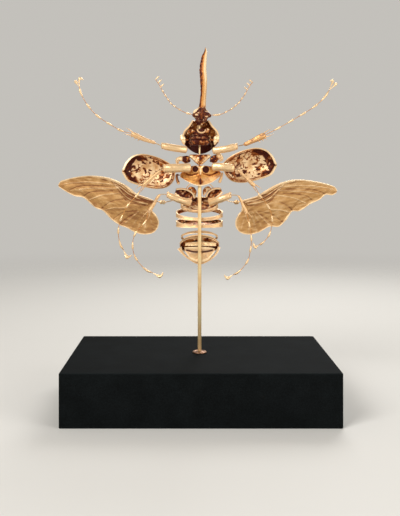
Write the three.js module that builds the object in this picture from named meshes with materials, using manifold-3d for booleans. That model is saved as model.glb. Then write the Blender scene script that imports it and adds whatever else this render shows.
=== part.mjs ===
// A horned beetle taken apart and mounted in the air: each piece of the dry insect stands a little away
// from the next one, underside to the front, on a brass rod that rises from a black stone slab.
// Millimetres, +Z up, front towards -Y. The origin is the centre of the slab's underside.
import * as THREE from "three";
import { mergeVertices } from "three/addons/utils/BufferGeometryUtils.js";
import Module from "manifold-3d";

const wasm = await Module();
wasm.setup();

// Driving dimensions
const SLAB = { width: 180, depth: 120, height: 35, chamfer: 0.5 };
const FOOT = { radius: 5, height: 1.2 };
const ROD = { radius: 1.3, shoulder: 159, pinRadius: 0.6, pinFrom: 161, top: 199 };
const GAP = 0.25; // air between two pieces that touch
const BODY_X = 0.8; // the thorax stands this far to the right of the rod
const WIRE = 0.35; // radius of the fine wires that hold the pieces
const THREAD = 0.3; // radius of the thinner wire through the beads of tarsi and antennae
const ANTENNA_Y = -1; // depth of the antennae
const LEG_Y = -6; // depth of the legs, in front of the body
const TARSUS_BOW = 2.5; // how far a tarsus bows forward from that
const WING_Y = 3; // depth of the hind wings
const ELYTRON_Y = 6; // depth of the elytra's rims
const WALL = 0.8; // thickness of the abdomen's rings, the elytra and the other shells

const group = new THREE.Group();
const at = (x, y, z) => new THREE.Vector3(x, y, z);
const mix = THREE.MathUtils.lerp;

// Finishes: the colours of the gilded insect, its mount and the stone
const FINISH = {
  gold: { color: "#d9b46c", roughness: 0.35, metalness: 0.9 },
  paleGold: { color: "#ead19a", roughness: 0.35, metalness: 0.9 },
  wingGold: { color: "#c89d5c", roughness: 0.5, metalness: 0.6 },
  umber: { color: "#5a2a16", roughness: 0.45, metalness: 0.4 },
  brass: { color: "#e3c488", roughness: 0.25, metalness: 1 },
  copper: { color: "#9a7b66", roughness: 0.4, metalness: 1 },
  stone: { color: "#1a1d1d", roughness: 0.6, metalness: 0 },
};

// Only positions, shared vertices merged, collapsed triangles dropped and faces turned outwards
function closed(source) {
  const bare = new THREE.BufferGeometry();
  bare.setAttribute("position", source.getAttribute("position"));
  if (source.index) bare.setIndex(source.index);
  const merged = mergeVertices(bare, 1e-3);
  const old = merged.index.array;
  const p = merged.getAttribute("position");
  const corner = (i) => new THREE.Vector3().fromBufferAttribute(p, i);
  const index = [];
  let volume = 0;
  for (let i = 0; i < old.length; i += 3) {
    const [a, b, c] = [old[i], old[i + 1], old[i + 2]];
    if (a === b || b === c || a === c) continue;
    index.push(a, b, c);
    volume += corner(a).dot(corner(b).cross(corner(c)));
  }
  merged.setIndex(volume < 0 ? index.reverse() : index);
  return merged;
}

function solid(geometry) {
  const g = closed(geometry);
  const vertProperties = new Float32Array(g.getAttribute("position").array);
  const triVerts = new Uint32Array(g.index.array);
  return new wasm.Manifold(new wasm.Mesh({ numProp: 3, vertProperties, triVerts }));
}

function geometryOf(made) {
  const mesh = made.getMesh();
  const geometry = new THREE.BufferGeometry();
  geometry.setAttribute("position", new THREE.BufferAttribute(new Float32Array(mesh.vertProperties), 3));
  geometry.setIndex(new THREE.BufferAttribute(new Uint32Array(mesh.triVerts), 1));
  return geometry;
}

const joined = (first, ...rest) => geometryOf(rest.reduce((s, g) => s.add(solid(g)), solid(first)));
const cut = (first, ...rest) => geometryOf(rest.reduce((s, g) => s.subtract(solid(g)), solid(first)));

function piece(name, geometry, finish) {
  const shape = closed(geometry);
  shape.computeVertexNormals();
  const mesh = new THREE.Mesh(shape, new THREE.MeshStandardMaterial(FINISH[finish]));
  mesh.name = name;
  group.add(mesh);
}

function surfaceFrom(points, faces) {
  const geometry = new THREE.BufferGeometry().setFromPoints(points);
  geometry.setIndex(faces);
  return geometry;
}

// A closed skin over rings of points, each end shut by a fan
function skin(rings) {
  const n = rings[0].length;
  const points = rings.flat();
  const faces = [];
  for (let i = 0; i + 1 < rings.length; i++) {
    for (let j = 0; j < n; j++) {
      const [a, b] = [i * n + j, i * n + ((j + 1) % n)];
      faces.push(a, b, b + n, a, b + n, a + n);
    }
  }
  const last = points.length - n;
  for (const [start, flip] of [[0, true], [last, false]]) {
    const middle = new THREE.Vector3();
    for (let j = 0; j < n; j++) middle.addScaledVector(points[start + j], 1 / n);
    points.push(middle);
    for (let j = 0; j < n; j++) {
      const [a, b] = [start + j, start + ((j + 1) % n)];
      faces.push(points.length - 1, flip ? b : a, flip ? a : b);
    }
  }
  return surfaceFrom(points, faces);
}

const turn = (j, sides) => (2 * Math.PI * j) / sides;

// Level elliptical sections [x, y, z, half width, half depth], from the bottom up
function stack(sections, sides) {
  return skin(sections.map(([x, y, z, w, d]) =>
    Array.from({ length: sides }, (_, j) =>
      at(x + w * Math.cos(turn(j, sides)), y + d * Math.sin(turn(j, sides)), z))));
}

// A limb along a smooth curve; its stations [share of the length, half width, half depth] shape it
function limb(path, stations, sides) {
  const curve = new THREE.CatmullRomCurve3(path, false, "centripetal");
  return skin(stations.map(([t, w, d = w]) => {
    const centre = curve.getPointAt(t);
    const along = curve.getTangentAt(t);
    const across = new THREE.Vector3().crossVectors(along, at(0, -1, 0)).normalize();
    const front = new THREE.Vector3().crossVectors(across, along);
    return Array.from({ length: sides }, (_, j) => centre.clone()
      .addScaledVector(across, w * Math.cos(turn(j, sides)))
      .addScaledVector(front, d * Math.sin(turn(j, sides))));
  }));
}

const wire = (path) => limb(path, [0, 0.25, 0.5, 0.75, 1].map((t) => [t, WIRE]), 5);
const spike = (from, to, radius) => limb([from, to], [[0, radius], [1, 0.08]], 4);

// A thin shell on both sides of a surface(u, v), closed round its edge; round is true for a hoop in u
function shell(surface, nu, nv, thickness, round = false) {
  const columns = round ? nu : nu + 1;
  const step = 1e-3;
  const points = [];
  const inside = (t) => Math.min(Math.max(t, step), 1 - step);
  for (const side of [0.5, -0.5]) {
    for (let i = 0; i < columns; i++) {
      for (let j = 0; j <= nv; j++) {
        const [u, v] = [i / nu, j / nv];
        const [cu, cv] = [round ? u : inside(u), inside(v)];
        const du = surface(cu + step, cv).sub(surface(cu - step, cv));
        const dv = surface(cu, cv + step).sub(surface(cu, cv - step));
        const normal = du.cross(dv).normalize();
        points.push(surface(u, v).addScaledVector(normal, side * thickness));
      }
    }
  }
  const half = columns * (nv + 1);
  const id = (i, j) => (i % columns) * (nv + 1) + j;
  const faces = [];
  const quad = (a, b, c, d) => faces.push(a, b, c, a, c, d);
  for (let i = 0; i < nu; i++) {
    for (let j = 0; j < nv; j++) {
      const [a, b, c, d] = [id(i, j), id(i + 1, j), id(i + 1, j + 1), id(i, j + 1)];
      quad(a, b, c, d);
      quad(half + d, half + c, half + b, half + a);
    }
    for (const [j, flip] of [[0, false], [nv, true]]) {
      const [a, b] = flip ? [id(i + 1, j), id(i, j)] : [id(i, j), id(i + 1, j)];
      quad(b, a, half + a, half + b);
    }
  }
  if (!round) {
    for (let j = 0; j < nv; j++) {
      quad(id(0, j), id(0, j + 1), half + id(0, j + 1), half + id(0, j));
      quad(id(nu, j + 1), id(nu, j), half + id(nu, j), half + id(nu, j + 1));
    }
  }
  return surfaceFrom(points, faces);
}

// A smooth curve through [x, z] points at one depth
const edge = (points, y) => new THREE.CatmullRomCurve3(points.map(([x, z]) => at(x, y, z)));

// The ruled surface from one edge to another, pushed back by depth(u, v, point)
function between(first, second, depth) {
  return (u, v) => {
    const point = first.getPoint(u).lerp(second.getPoint(u), v);
    point.y += depth(u, v, point);
    return point;
  };
}

// A round hole along Z for the pin, a little longer than the pin, or along Y for a leg's socket
function pinHole() {
  const [radius, length] = [ROD.pinRadius + GAP, ROD.top - ROD.pinFrom + 2 * GAP];
  const hole = new THREE.CylinderGeometry(radius, radius, length, 10);
  return hole.rotateX(Math.PI / 2).translate(0, 0, (ROD.pinFrom + ROD.top) / 2);
}

function socket(x, z, radius) {
  const through = 20;
  return new THREE.CylinderGeometry(radius, radius, through, 10).translate(x, 0, z);
}

// The slab, the rod's foot and the rod with its thin pin
function mount() {
  const { width, depth, height, chamfer } = SLAB;
  const outline = new THREE.Shape();
  const [w, d] = [width / 2 - chamfer, depth / 2 - chamfer];
  outline.moveTo(-w, -d).lineTo(w, -d).lineTo(w, d).lineTo(-w, d).closePath();
  const bevel = { bevelThickness: chamfer, bevelSize: chamfer, bevelSegments: 1 };
  const slab = new THREE.ExtrudeGeometry(outline, { depth: height - 2 * chamfer, ...bevel });
  piece("base_slab", slab.translate(0, 0, chamfer), "stone");

  const turned = (profile, sides) =>
    new THREE.LatheGeometry(profile.map(([r, z]) => new THREE.Vector2(r, z)), sides).rotateX(Math.PI / 2);
  const { radius, height: disc } = FOOT;
  const rim = [[0, 0], [radius, 0], [radius, disc * 0.6], [radius - 0.5, disc], [0, disc]];
  piece("rod_foot", turned(rim, 18).translate(0, 0, height), "copper");

  const rod = [[0, height + disc], [ROD.radius, height + disc], [ROD.radius, ROD.shoulder],
    [ROD.pinRadius, ROD.pinFrom], [ROD.pinRadius, ROD.top], [0, ROD.top]];
  piece("support_rod", turned(rod, 12), "brass");
}

// The head, its long horn bowed forward and hooked back at the tip, and a hole for the pin
function head() {
  const sections = [
    [0.6, 0, 196, 2.4, 2.2], [0.9, 0, 198, 3.6, 3], [1.2, 0, 200, 4.5, 3.7], [1.4, 0, 202, 6, 4.3],
    [1.5, 0, 203.4, 6.5, 4.5], [1.6, 0, 205.5, 4.7, 4], [1.8, 0, 207.8, 2.9, 3.2],
    [1.9, -0.3, 210, 2.3, 2.7], [2.6, -1.4, 219, 2, 2.3], [2.6, -2, 228, 2.4, 2.2],
    [2.1, -1.6, 234.5, 2.4, 2], [2.4, -0.8, 239.5, 2.2, 1.8], [3.2, 0.6, 245, 1.7, 1.4],
    [4.2, 2, 248.8, 0.9, 0.8], [4.3, 3, 251.5, 0.2, 0.2],
  ];
  piece("head_with_horn", cut(stack(sections, 10), pinHole()), "umber");
}

// Stations for a wire with spindle-shaped beads at the given shares of its length
function beaded(beads, wireRadius) {
  const stations = [[0, wireRadius]];
  for (const { share, reach, radius } of beads) {
    for (const [offset, swell] of [[-1, 0], [0.2, 1], [1, 0]]) {
      stations.push([share + offset * reach, mix(wireRadius, radius, swell)]);
    }
  }
  return [...stations, [1, wireRadius]];
}

// The share of a path's length at each of its points
function shares(path) {
  const run = [0];
  for (let i = 1; i < path.length; i++) run.push(run[i - 1] + path[i].distanceTo(path[i - 1]));
  return run.map((length) => length / run[run.length - 1]);
}

// An antenna: a scape, six beads on a wire, and a club of three leaves on its last stretch
const ANTENNAE = {
  left: {
    scape: [[-5.1, 203.5], [-9.6, 204.6]],
    beads: [[-14.1, 206.9], [-17.8, 209.3], [-20.2, 211.3], [-22.2, 214], [-24.1, 216.7], [-26, 219.8]],
    club: [[-27.7, 222.8], [-29.4, 225.8], [-31.1, 228.3]],
    leaf: [2.5, 2.3],
  },
  right: {
    scape: [[8.1, 203], [14.6, 203.5]],
    beads: [[18.5, 205.2], [22.7, 207.5], [25.3, 209.6], [27.7, 211.8], [29.9, 214.7], [32.1, 217.9]],
    club: [[33.8, 221.1], [35.5, 223.9], [37.4, 226.2]],
    leaf: [-2.3, 1.9],
  },
};

function antenna(side, { scape, beads, club, leaf }) {
  const path = [...scape, ...beads, ...club].map(([x, z]) => at(x, ANTENNA_Y, z));
  const share = shares(path);
  const bumps = [{ share: share[1] * 0.6, reach: share[1] * 0.38, radius: 0.75 }];
  beads.forEach((_, i) => bumps.push({ share: share[i + 2], reach: 0.026, radius: 0.6 }));
  const behind = 0.15; // the share of a leaf's length that it starts behind the wire
  const leaves = club.map(([x, z]) => limb(
    [-behind, 1].map((t) => at(x + t * leaf[0], ANTENNA_Y, z + t * leaf[1])),
    [[0, THREAD], [0.6, 0.5], [1, 0.2]], 4));
  piece(`antenna_${side}`, joined(limb(path, beaded(bumps, THREAD), 4), ...leaves), "paleGold");
}

// The pronotum, half a bell open to the front, and the block threaded on the pin inside it
function prothorax() {
  const top = 199.4;
  const bottom = { sides: 184, back: 176 };
  const width = edge([[5.6, 0], [8, 0.25], [11.5, 0.6], [12.7, 0.85], [12.4, 1]], 0);
  const bell = (u, v) => {
    const half = width.getPoint(v).x;
    const angle = (u - 0.5) * Math.PI;
    const hem = mix(bottom.sides, bottom.back, Math.cos(angle) ** 2);
    return at(BODY_X + half * Math.sin(angle), 0.5 + 0.85 * half * Math.cos(angle), mix(top, hem, v));
  };
  const peg = wire([at(BODY_X, 10.6, 189), at(BODY_X, 4.6, 186)]);
  piece("pronotum", joined(shell(bell, 12, 4, WALL), peg), "umber");

  const block = [
    [-0.3, 0, 181.8, 6.2, 3.4], [-0.3, -0.4, 183.5, 7.2, 4.4], [-0.3, -0.4, 187, 7.2, 4.6],
    [0, 0, 189.5, 5.6, 4], [0.4, 0.6, 192.5, 3.4, 2.6],
  ];
  piece("prosternum", cut(stack(block, 14), pinHole()), "umber");

  const coxae = {
    left: { kite: [[-13.2, 188.9], [-11.6, 185.6], [-10.9, 181.8]], neck: [-7.8, -0.8, 185.6] },
    right: { kite: [[13.1, 188.7], [11.4, 185.4], [10.5, 181.8]], neck: [7.2, -0.8, 185.6] },
  };
  const kiteY = -3.5;
  for (const [side, { kite, neck }] of Object.entries(coxae)) {
    const lobe = limb(kite.map(([x, z]) => at(x, kiteY, z)),
      [[0, 0.5], [0.2, 1.6, 1], [0.42, 2, 1.4], [0.7, 1.4, 1.3], [1, 0.5]], 8);
    const stalk = limb([at(...neck), at(kite[1][0], kiteY, kite[1][1])], [[0, 0.5], [1, 0.9]], 4);
    piece(`fore_coxa_${side}`, joined(lobe, stalk), "paleGold");
  }
}

// The mesosternum, a keel threaded on the pin, and on each side of it a broad arm that ends in a hook
function mesothorax() {
  const keel = [
    [0.3, -1, 168, 1.4, 2.4], [0.3, -1, 170, 3.8, 3.2], [0.3, -0.8, 172.4, 6.4, 3.6],
    [0.3, -0.6, 174, 7.8, 3.6], [0.3, -0.4, 175.2, 7, 3],
  ];
  piece("mesosternum", cut(stack(keel, 14), pinHole()), "gold");

  const arms = {
    left: [[-6.6, 170.2], [-9.4, 171.6], [-12.4, 172.2], [-14.9, 172], [-15.9, 170.4], [-14.8, 169]],
    right: [[7.2, 170.2], [10.2, 172], [12, 173.4], [13.9, 174.4], [15.5, 172.6], [14.4, 170.2]],
  };
  for (const [side, path] of Object.entries(arms)) {
    const arm = limb(path.map(([x, z]) => at(x, -0.6, z)),
      [[0, 0.7], [0.2, 2.8, 1.1], [0.42, 2, 1.4], [0.62, 1.5, 1.7], [0.85, 1.3], [1, 0.4]], 8);
    piece(`mid_coxa_${side}`, arm, "gold");
  }
}

// The metasternum, a boat-shaped plate in front of the rod with two round sockets, and its side plates
function metathorax() {
  const upper = edge([[-13.3, 161.4], [-9.5, 165.4], [-4, 167.3], [0.4, 167.3], [5, 167.2],
    [10.4, 165.6], [14.6, 162.8]], 0);
  const lower = edge([[-13.3, 159.4], [-7.7, 155.8], [-3.3, 153.7], [0.2, 153], [3.8, 153.7],
    [9, 156], [14.6, 160.4]], 0);
  const thickness = 1.6;
  const back = -ROD.radius - GAP - thickness / 2;
  const boat = between(upper, lower, (u, v, p) => back + 0.024 * p.x ** 2);
  const plate = cut(shell(boat, 12, 4, thickness), socket(-3, 164.9, 1.9), socket(4.3, 164.5, 2.2));
  piece("metasternum", plate, "gold");

  const plates = { left: [[-13.9, 160.6], [-16, 160.8], [-15.9, 157.6], [-14.6, 154]],
    right: [[15.3, 161.6], [16.2, 162.2], [15.4, 158.8], [14, 155]] };
  for (const [side, path] of Object.entries(plates)) {
    const strip = limb(path.map(([x, z]) => at(x, 2.8, z)),
      [[0, 0.4], [0.25, 0.8, 0.6], [0.6, 1, 0.6], [0.9, 1.1, 0.8], [1, 0.5]], 6);
    piece(`side_plate_${side}`, strip, "umber");
  }
}

const HIND_COXAE = {
  left: {
    path: [[-17, 149.2], [-12, 147.6], [-7.4, 145.6], [-4.4, 143.2]], radius: 3.2,
    strut: [[-6.9, -0.6, 154.6], [-8.6, 2, 152.6], [-10, 6, 150]],
    lobe: [[-8.8, 3.4, 149.6], [-5.8, 2.8, 151.2], [-3.4, 2.7, 148.8], [-2.9, 2.7, 145.8]],
  },
  right: {
    path: [[15.6, 149.8], [11.6, 148.2], [8.4, 146.4], [5.6, 144]], radius: 2.8,
    strut: [[7.2, -0.6, 154.4], [9, 2, 152.6], [10.4, 6, 150.2]],
    lobe: [[8.8, 3.4, 150], [6, 2.8, 151.2], [3.6, 2.7, 148.8], [3.1, 2.7, 146]],
  },
};

// A hind coxa: a trough open to the front and a lobe beside the rod, on a thin strut from the metasternum
function hindCoxa(side, { path, strut, lobe, radius }) {
  const curve = new THREE.CatmullRomCurve3(path.map(([x, z]) => at(x, 3, z)));
  const trough = (u, v) => {
    const along = curve.getTangent(u);
    const across = new THREE.Vector3().crossVectors(along, at(0, -1, 0)).normalize();
    const angle = mix(-0.15, 1.15, v) * Math.PI;
    const r = 0.8 + radius * Math.sin(Math.PI * mix(0.04, 0.96, u)) ** 0.7;
    return curve.getPoint(u)
      .addScaledVector(across, r * Math.cos(angle)).add(at(0, 0.8 * r * Math.sin(angle), 0));
  };
  const stem = wire(strut.map((point) => at(...point)));
  const inner = limb(lobe.map((point) => at(...point)),
    [[0, 0.8], [0.35, 1.6, 1], [0.7, 1.4, 1], [1, 0.5]], 6);
  piece(`hind_coxa_${side}`, joined(shell(trough, 8, 4, WALL), stem, inner), "umber");
}

// The hoops of the abdomen, behind the rod: each is tilted about its front, its band is higher at the sides
// by the flare, and some are closed by a thin floor
const RINGS = [
  { front: 134.8, halfWidth: 13, halfDepth: 8, height: 1.6, flare: 1, tilt: -0.62, floor: true },
  { front: 129.2, halfWidth: 16.4, halfDepth: 8.5, height: 2.3, flare: 0.4, tilt: -0.42, floor: false },
  { front: 124.2, halfWidth: 16.4, halfDepth: 8.5, height: 2, flare: 1, tilt: -0.2, floor: true },
  { front: 120.4, halfWidth: 12.7, halfDepth: 8, height: 1.4, flare: 0, tilt: 0.55, floor: false },
  { front: 117.4, halfWidth: 13.6, halfDepth: 8, height: 1.6, flare: 0, tilt: 0.95, floor: true },
];
const RING_SIDES = 20;

function abdomen() {
  RINGS.forEach(({ front, halfWidth, halfDepth, height, flare, tilt, floor }, i) => {
    const hoop = (u, v, out = 0, lift = 0) => {
      const angle = 2 * Math.PI * u;
      const reach = halfDepth - (halfDepth + out) * Math.cos(angle);
      const rise = (0.5 - v) * height * (1 + flare * Math.sin(angle) ** 2) + lift;
      return at(
        (halfWidth + out) * Math.sin(angle),
        reach * Math.cos(tilt) - rise * Math.sin(tilt) * Math.cos(angle),
        front - reach * Math.sin(tilt) + rise * Math.cos(tilt * 0.5));
    };
    // A closed ring is a cup: its inside, its rim and its outside in one skin
    const level = (v, out, lift) =>
      Array.from({ length: RING_SIDES }, (_, j) => hoop(j / RING_SIDES, v, out, lift));
    const [inside, outside] = [-WALL / 2, WALL / 2];
    const cup = [level(1, inside, WALL), level(0, inside, 0), level(0, outside, 0), level(1, outside, 0)];
    const ring = floor ? skin(cup) : shell(hoop, RING_SIDES, 1, WALL, true);
    ring.computeBoundingBox();
    const clear = ROD.radius + GAP - ring.boundingBox.min.y;
    piece(`abdomen_ring_${i + 1}`, ring.translate(0, clear, 0), "gold");
  });

  // The last rings are open behind: a short band, the last sternite and the tail plate
  const bow = (top, bottom, y, curve) => between(edge(top, y), edge(bottom, y),
    (u, v, p) => curve * p.x ** 2);
  const front = ROD.radius + GAP + WALL / 2;
  const band = bow([[-9.8, 112.4], [0, 113.4], [11.6, 112.4]], [[-10, 110.6], [0, 110.6], [11.6, 110.2]],
    front, 0.02);
  piece("abdomen_ring_6", shell(band, 10, 1, WALL), "paleGold");
  const last = bow([[-10.6, 109.2], [-5, 109.7], [0, 109.8], [5, 109.6], [10.6, 108.6]],
    [[-10.4, 106.8], [-5.6, 100.6], [0, 99], [6, 100.6], [10.6, 106.6]], front, 0.012);
  piece("last_sternite", shell(last, 12, 2, WALL), "gold");
  const tail = bow(
    [[-13, 109.6], [-11.6, 106.2], [-8, 102.4], [0, 98.6], [8, 102], [11.8, 106], [13.2, 109.8]],
    [[-15.6, 107.8], [-12.8, 104.8], [-8, 100.9], [0, 97.2], [8, 100.4], [12.6, 104.8], [14.8, 109]],
    front + WALL + GAP, 0.012);
  piece("tail_plate", shell(tail, 16, 1, WALL), "gold");
}

// An elytron's rim from its base outwards: the upper and lower edge as seen from the front
const ELYTRON = {
  upper: [[17.6, 165], [21, 168.4], [28, 172.4], [35.5, 174.8], [42, 175.6], [48, 174], [52.4, 169.6],
    [54.8, 164.4]],
  lower: [[17.6, 163], [18.6, 157.4], [23, 152.6], [29.5, 151.2], [37, 152], [45, 154.2], [51.4, 157],
    [54.9, 162.6]],
  depth: 8,
};
const ELYTRON_LIFT = { left: 0, right: 4.4 };

function elytron(side, sign) {
  const lift = ELYTRON_LIFT[side];
  const place = (points) => edge(points.map(([x, z]) => [sign * x, z + lift]), ELYTRON_Y);
  const dish = between(place(ELYTRON.upper), place(ELYTRON.lower), (u, v) =>
    ELYTRON.depth * Math.sin(Math.PI * mix(0.03, 0.97, v)) ** 0.6 * Math.sin(Math.PI * u) ** 0.5);
  piece(`elytron_${side}`, shell(dish, 12, 6, WALL), "gold");
  const inner = 164 + lift;
  const hanger = [at(sign * 17.2, ELYTRON_Y, inner), at(sign * 10, 4.5, inner - lift / 2 + 1),
    at(sign * (ROD.pinRadius + GAP), 0, 164.5)];
  piece(`elytron_wire_${side}`, wire(hanger), "paleGold");
}

// The hind wings: leading and trailing edge from root to tip, as [x, z] points, and the place behind the hind
// coxa where the wing's wire is held
const WINGS = {
  left: {
    leading: [
      [-32.6, 142.8], [-38, 144.8], [-45.7, 147.6], [-53.8, 153.9], [-64.7, 158.6], [-76, 160.2],
      [-86, 159.6], [-95, 157.7], [-99.4, 156.2], [-101, 153.8],
    ],
    trailing: [
      [-32.5, 142], [-33.6, 138], [-33.4, 134.9], [-30.8, 131.6], [-29, 127.7], [-29.9, 123],
      [-33.1, 119.6], [-39.1, 118.5], [-45.7, 119.8], [-51.4, 123], [-56.6, 125], [-61.8, 128.4],
      [-69.1, 135.5], [-73.6, 137.1], [-82.7, 144.5], [-89.4, 145.9], [-97.4, 150.2], [-100.4, 152.2],
    ],
    hold: [-14.2, 6.3, 145],
  },
  right: {
    leading: [
      [30.2, 142.8], [34.7, 143.7], [41.9, 146.1], [54.8, 153.7], [64.7, 156.9], [74, 157.3],
      [84.3, 155.8], [92.7, 153.8], [97, 152], [98.4, 149.8],
    ],
    trailing: [
      [30, 141.9], [30, 138.3], [29.7, 134.9], [27.3, 131.9], [25.6, 127.8], [26.2, 123], [29.4, 119.7],
      [35.4, 118.4], [42.3, 120], [49.9, 124], [56.5, 124], [60.6, 127.7], [65.9, 134.7], [71.1, 135.1],
      [79.1, 140.1], [85.7, 143.2], [90.1, 146.7], [95, 146.4], [97.8, 148],
    ],
    hold: [13.9, 5.9, 146.2],
  },
};
const WING = {
  thickness: 0.6,
  pleat: 0.7,
  pleats: 1.5, // from the leading to the trailing edge
  pleatRows: 4, // faces across one pleat
  fan: 0.8, // under 1, the leading edge runs ahead of the trailing one, so the lines between them fan out
  tipBack: 3, // how far the tip stands behind the root
  hinge: [1.5, 0.8], // half width and half depth of the lump on the wire beside the wing's root
};

function hindWing(side, sign) {
  const { leading, trailing, hold } = WINGS[side];
  const front = edge(leading, WING_Y);
  const fanned = { getPoint: (u) => front.getPointAt(u ** WING.fan) };
  const pleated = between(fanned, edge(trailing, WING_Y), (u, v) =>
    WING.pleat * Math.sin(2 * Math.PI * WING.pleats * v) * Math.sin(Math.PI * u) + WING.tipBack * u ** 2);
  const membrane = shell(pleated, trailing.length - 1, WING.pleats * WING.pleatRows, WING.thickness);
  piece(`hindwing_${side}`, membrane, "wingGold");

  const [rootX, rootZ] = leading[0];
  const hanger = [at(rootX - sign * 2 * GAP, WING_Y, rootZ - 0.4), at(sign * 26.3, WING_Y, 141.4),
    at(sign * 19.6, 4.6, 142.6), at(...hold)];
  const share = shares(hanger)[1];
  const stations = [[0, WIRE], [share - 0.13, WIRE], [share - 0.05, ...WING.hinge],
    [share + 0.05, ...WING.hinge], [share + 0.13, WIRE], [0.65, WIRE], [0.82, WIRE], [1, WIRE]];
  piece(`wing_wire_${side}`, limb(hanger, stations, 5), "paleGold");
}

// The legs, as [x, z] points: each femur's path, its inner end widened by inner and set back by inset,
// the tibia's path, and the tarsus as five beads and the elbows of its two claws, which end in a hook
const LEGS = {
  fore_left: {
    femur: [[-8.6, 178.4], [-17.6, 179.6], [-27.2, 181.4]], stout: 2.5, inset: 2.4,
    tibia: [[-31, 183], [-39.8, 186], [-48, 189.8]], broad: 1.8, teeth: 3,
    beads: [[-55.3, 191.8], [-63, 196.3], [-70.7, 201.3], [-77.5, 208.4], [-83.2, 218.3]],
    claws: [[-87, 226.2], [-84, 228.5]], hook: [2.4, -1.2],
  },
  fore_right: {
    femur: [[8.8, 177.8], [17.4, 178.6], [26.8, 181]], stout: 2.5, inset: 2.4,
    tibia: [[31, 182], [38.6, 185.4], [46.2, 189]], broad: 2.2, teeth: 3,
    beads: [[54.3, 193.1], [63.4, 198.2], [71.8, 203.2], [80.2, 208.6], [87.6, 215.5]],
    claws: [[92.9, 226.7], [95.7, 224.7]], hook: [-1.8, -0.2],
  },
  mid_left: {
    femur: [[-5.8, 165.8], [-16, 165.6], [-26, 165.3]], stout: 3.1, inset: 1.7,
    tibia: [[-27.6, 163.8], [-33.4, 158.8], [-40, 152.8]], broad: 1.5, teeth: 0,
    beads: [[-43.7, 146.8], [-49.9, 139.8], [-54.6, 130.8], [-56.8, 122], [-55.4, 112]],
    claws: [[-50.9, 102.9], [-50.2, 103.3]], hook: [2.6, 1.2],
  },
  mid_right: {
    femur: [[8.4, 166.6], [16, 166.2], [24.6, 165.2]], stout: 2.9, inset: 2,
    tibia: [[26.8, 164], [32.6, 158.6], [38.6, 152.8]], broad: 1.4, teeth: 0,
    beads: [[42, 146.4], [47.6, 139], [50.4, 130.4], [48.6, 119.4], [43.6, 113]],
    claws: [[39, 110], [38.4, 110.5]], hook: [-1.2, 3],
  },
  hind_left: {
    femur: [[-6, 141], [-14.8, 143.6], [-23.2, 147.2]], stout: 2.3, inner: 1.25, inset: 6.4,
    tibia: [[-27.8, 146.8], [-32, 140.4], [-36, 134]], broad: 1.4, teeth: 0,
    beads: [[-38.4, 127.4], [-45, 119.8], [-46.8, 111.4], [-44.8, 103], [-37.2, 94.2]],
    claws: [[-27.9, 89.6], [-27.3, 90.1]], hook: [1.8, 2.4],
  },
  hind_right: {
    femur: [[6.4, 141.4], [14.4, 143.6], [22.2, 146.8]], stout: 2.3, inner: 1.25, inset: 6.4,
    tibia: [[27, 146], [30.2, 139.8], [33.2, 133.4]], broad: 1.2, teeth: 0,
    beads: [[34.6, 126.2], [36, 116.8], [35.4, 109], [33.2, 100.4], [26.6, 92.6]],
    claws: [[19.4, 88.3], [18.9, 88.8]], hook: [-1.7, 2],
  },
};
const SPUR = 5.5; // length of the spurs at a tibia's end
const SPUR_LEAN = 2; // how far a spur's tip stands out to the side

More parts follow.
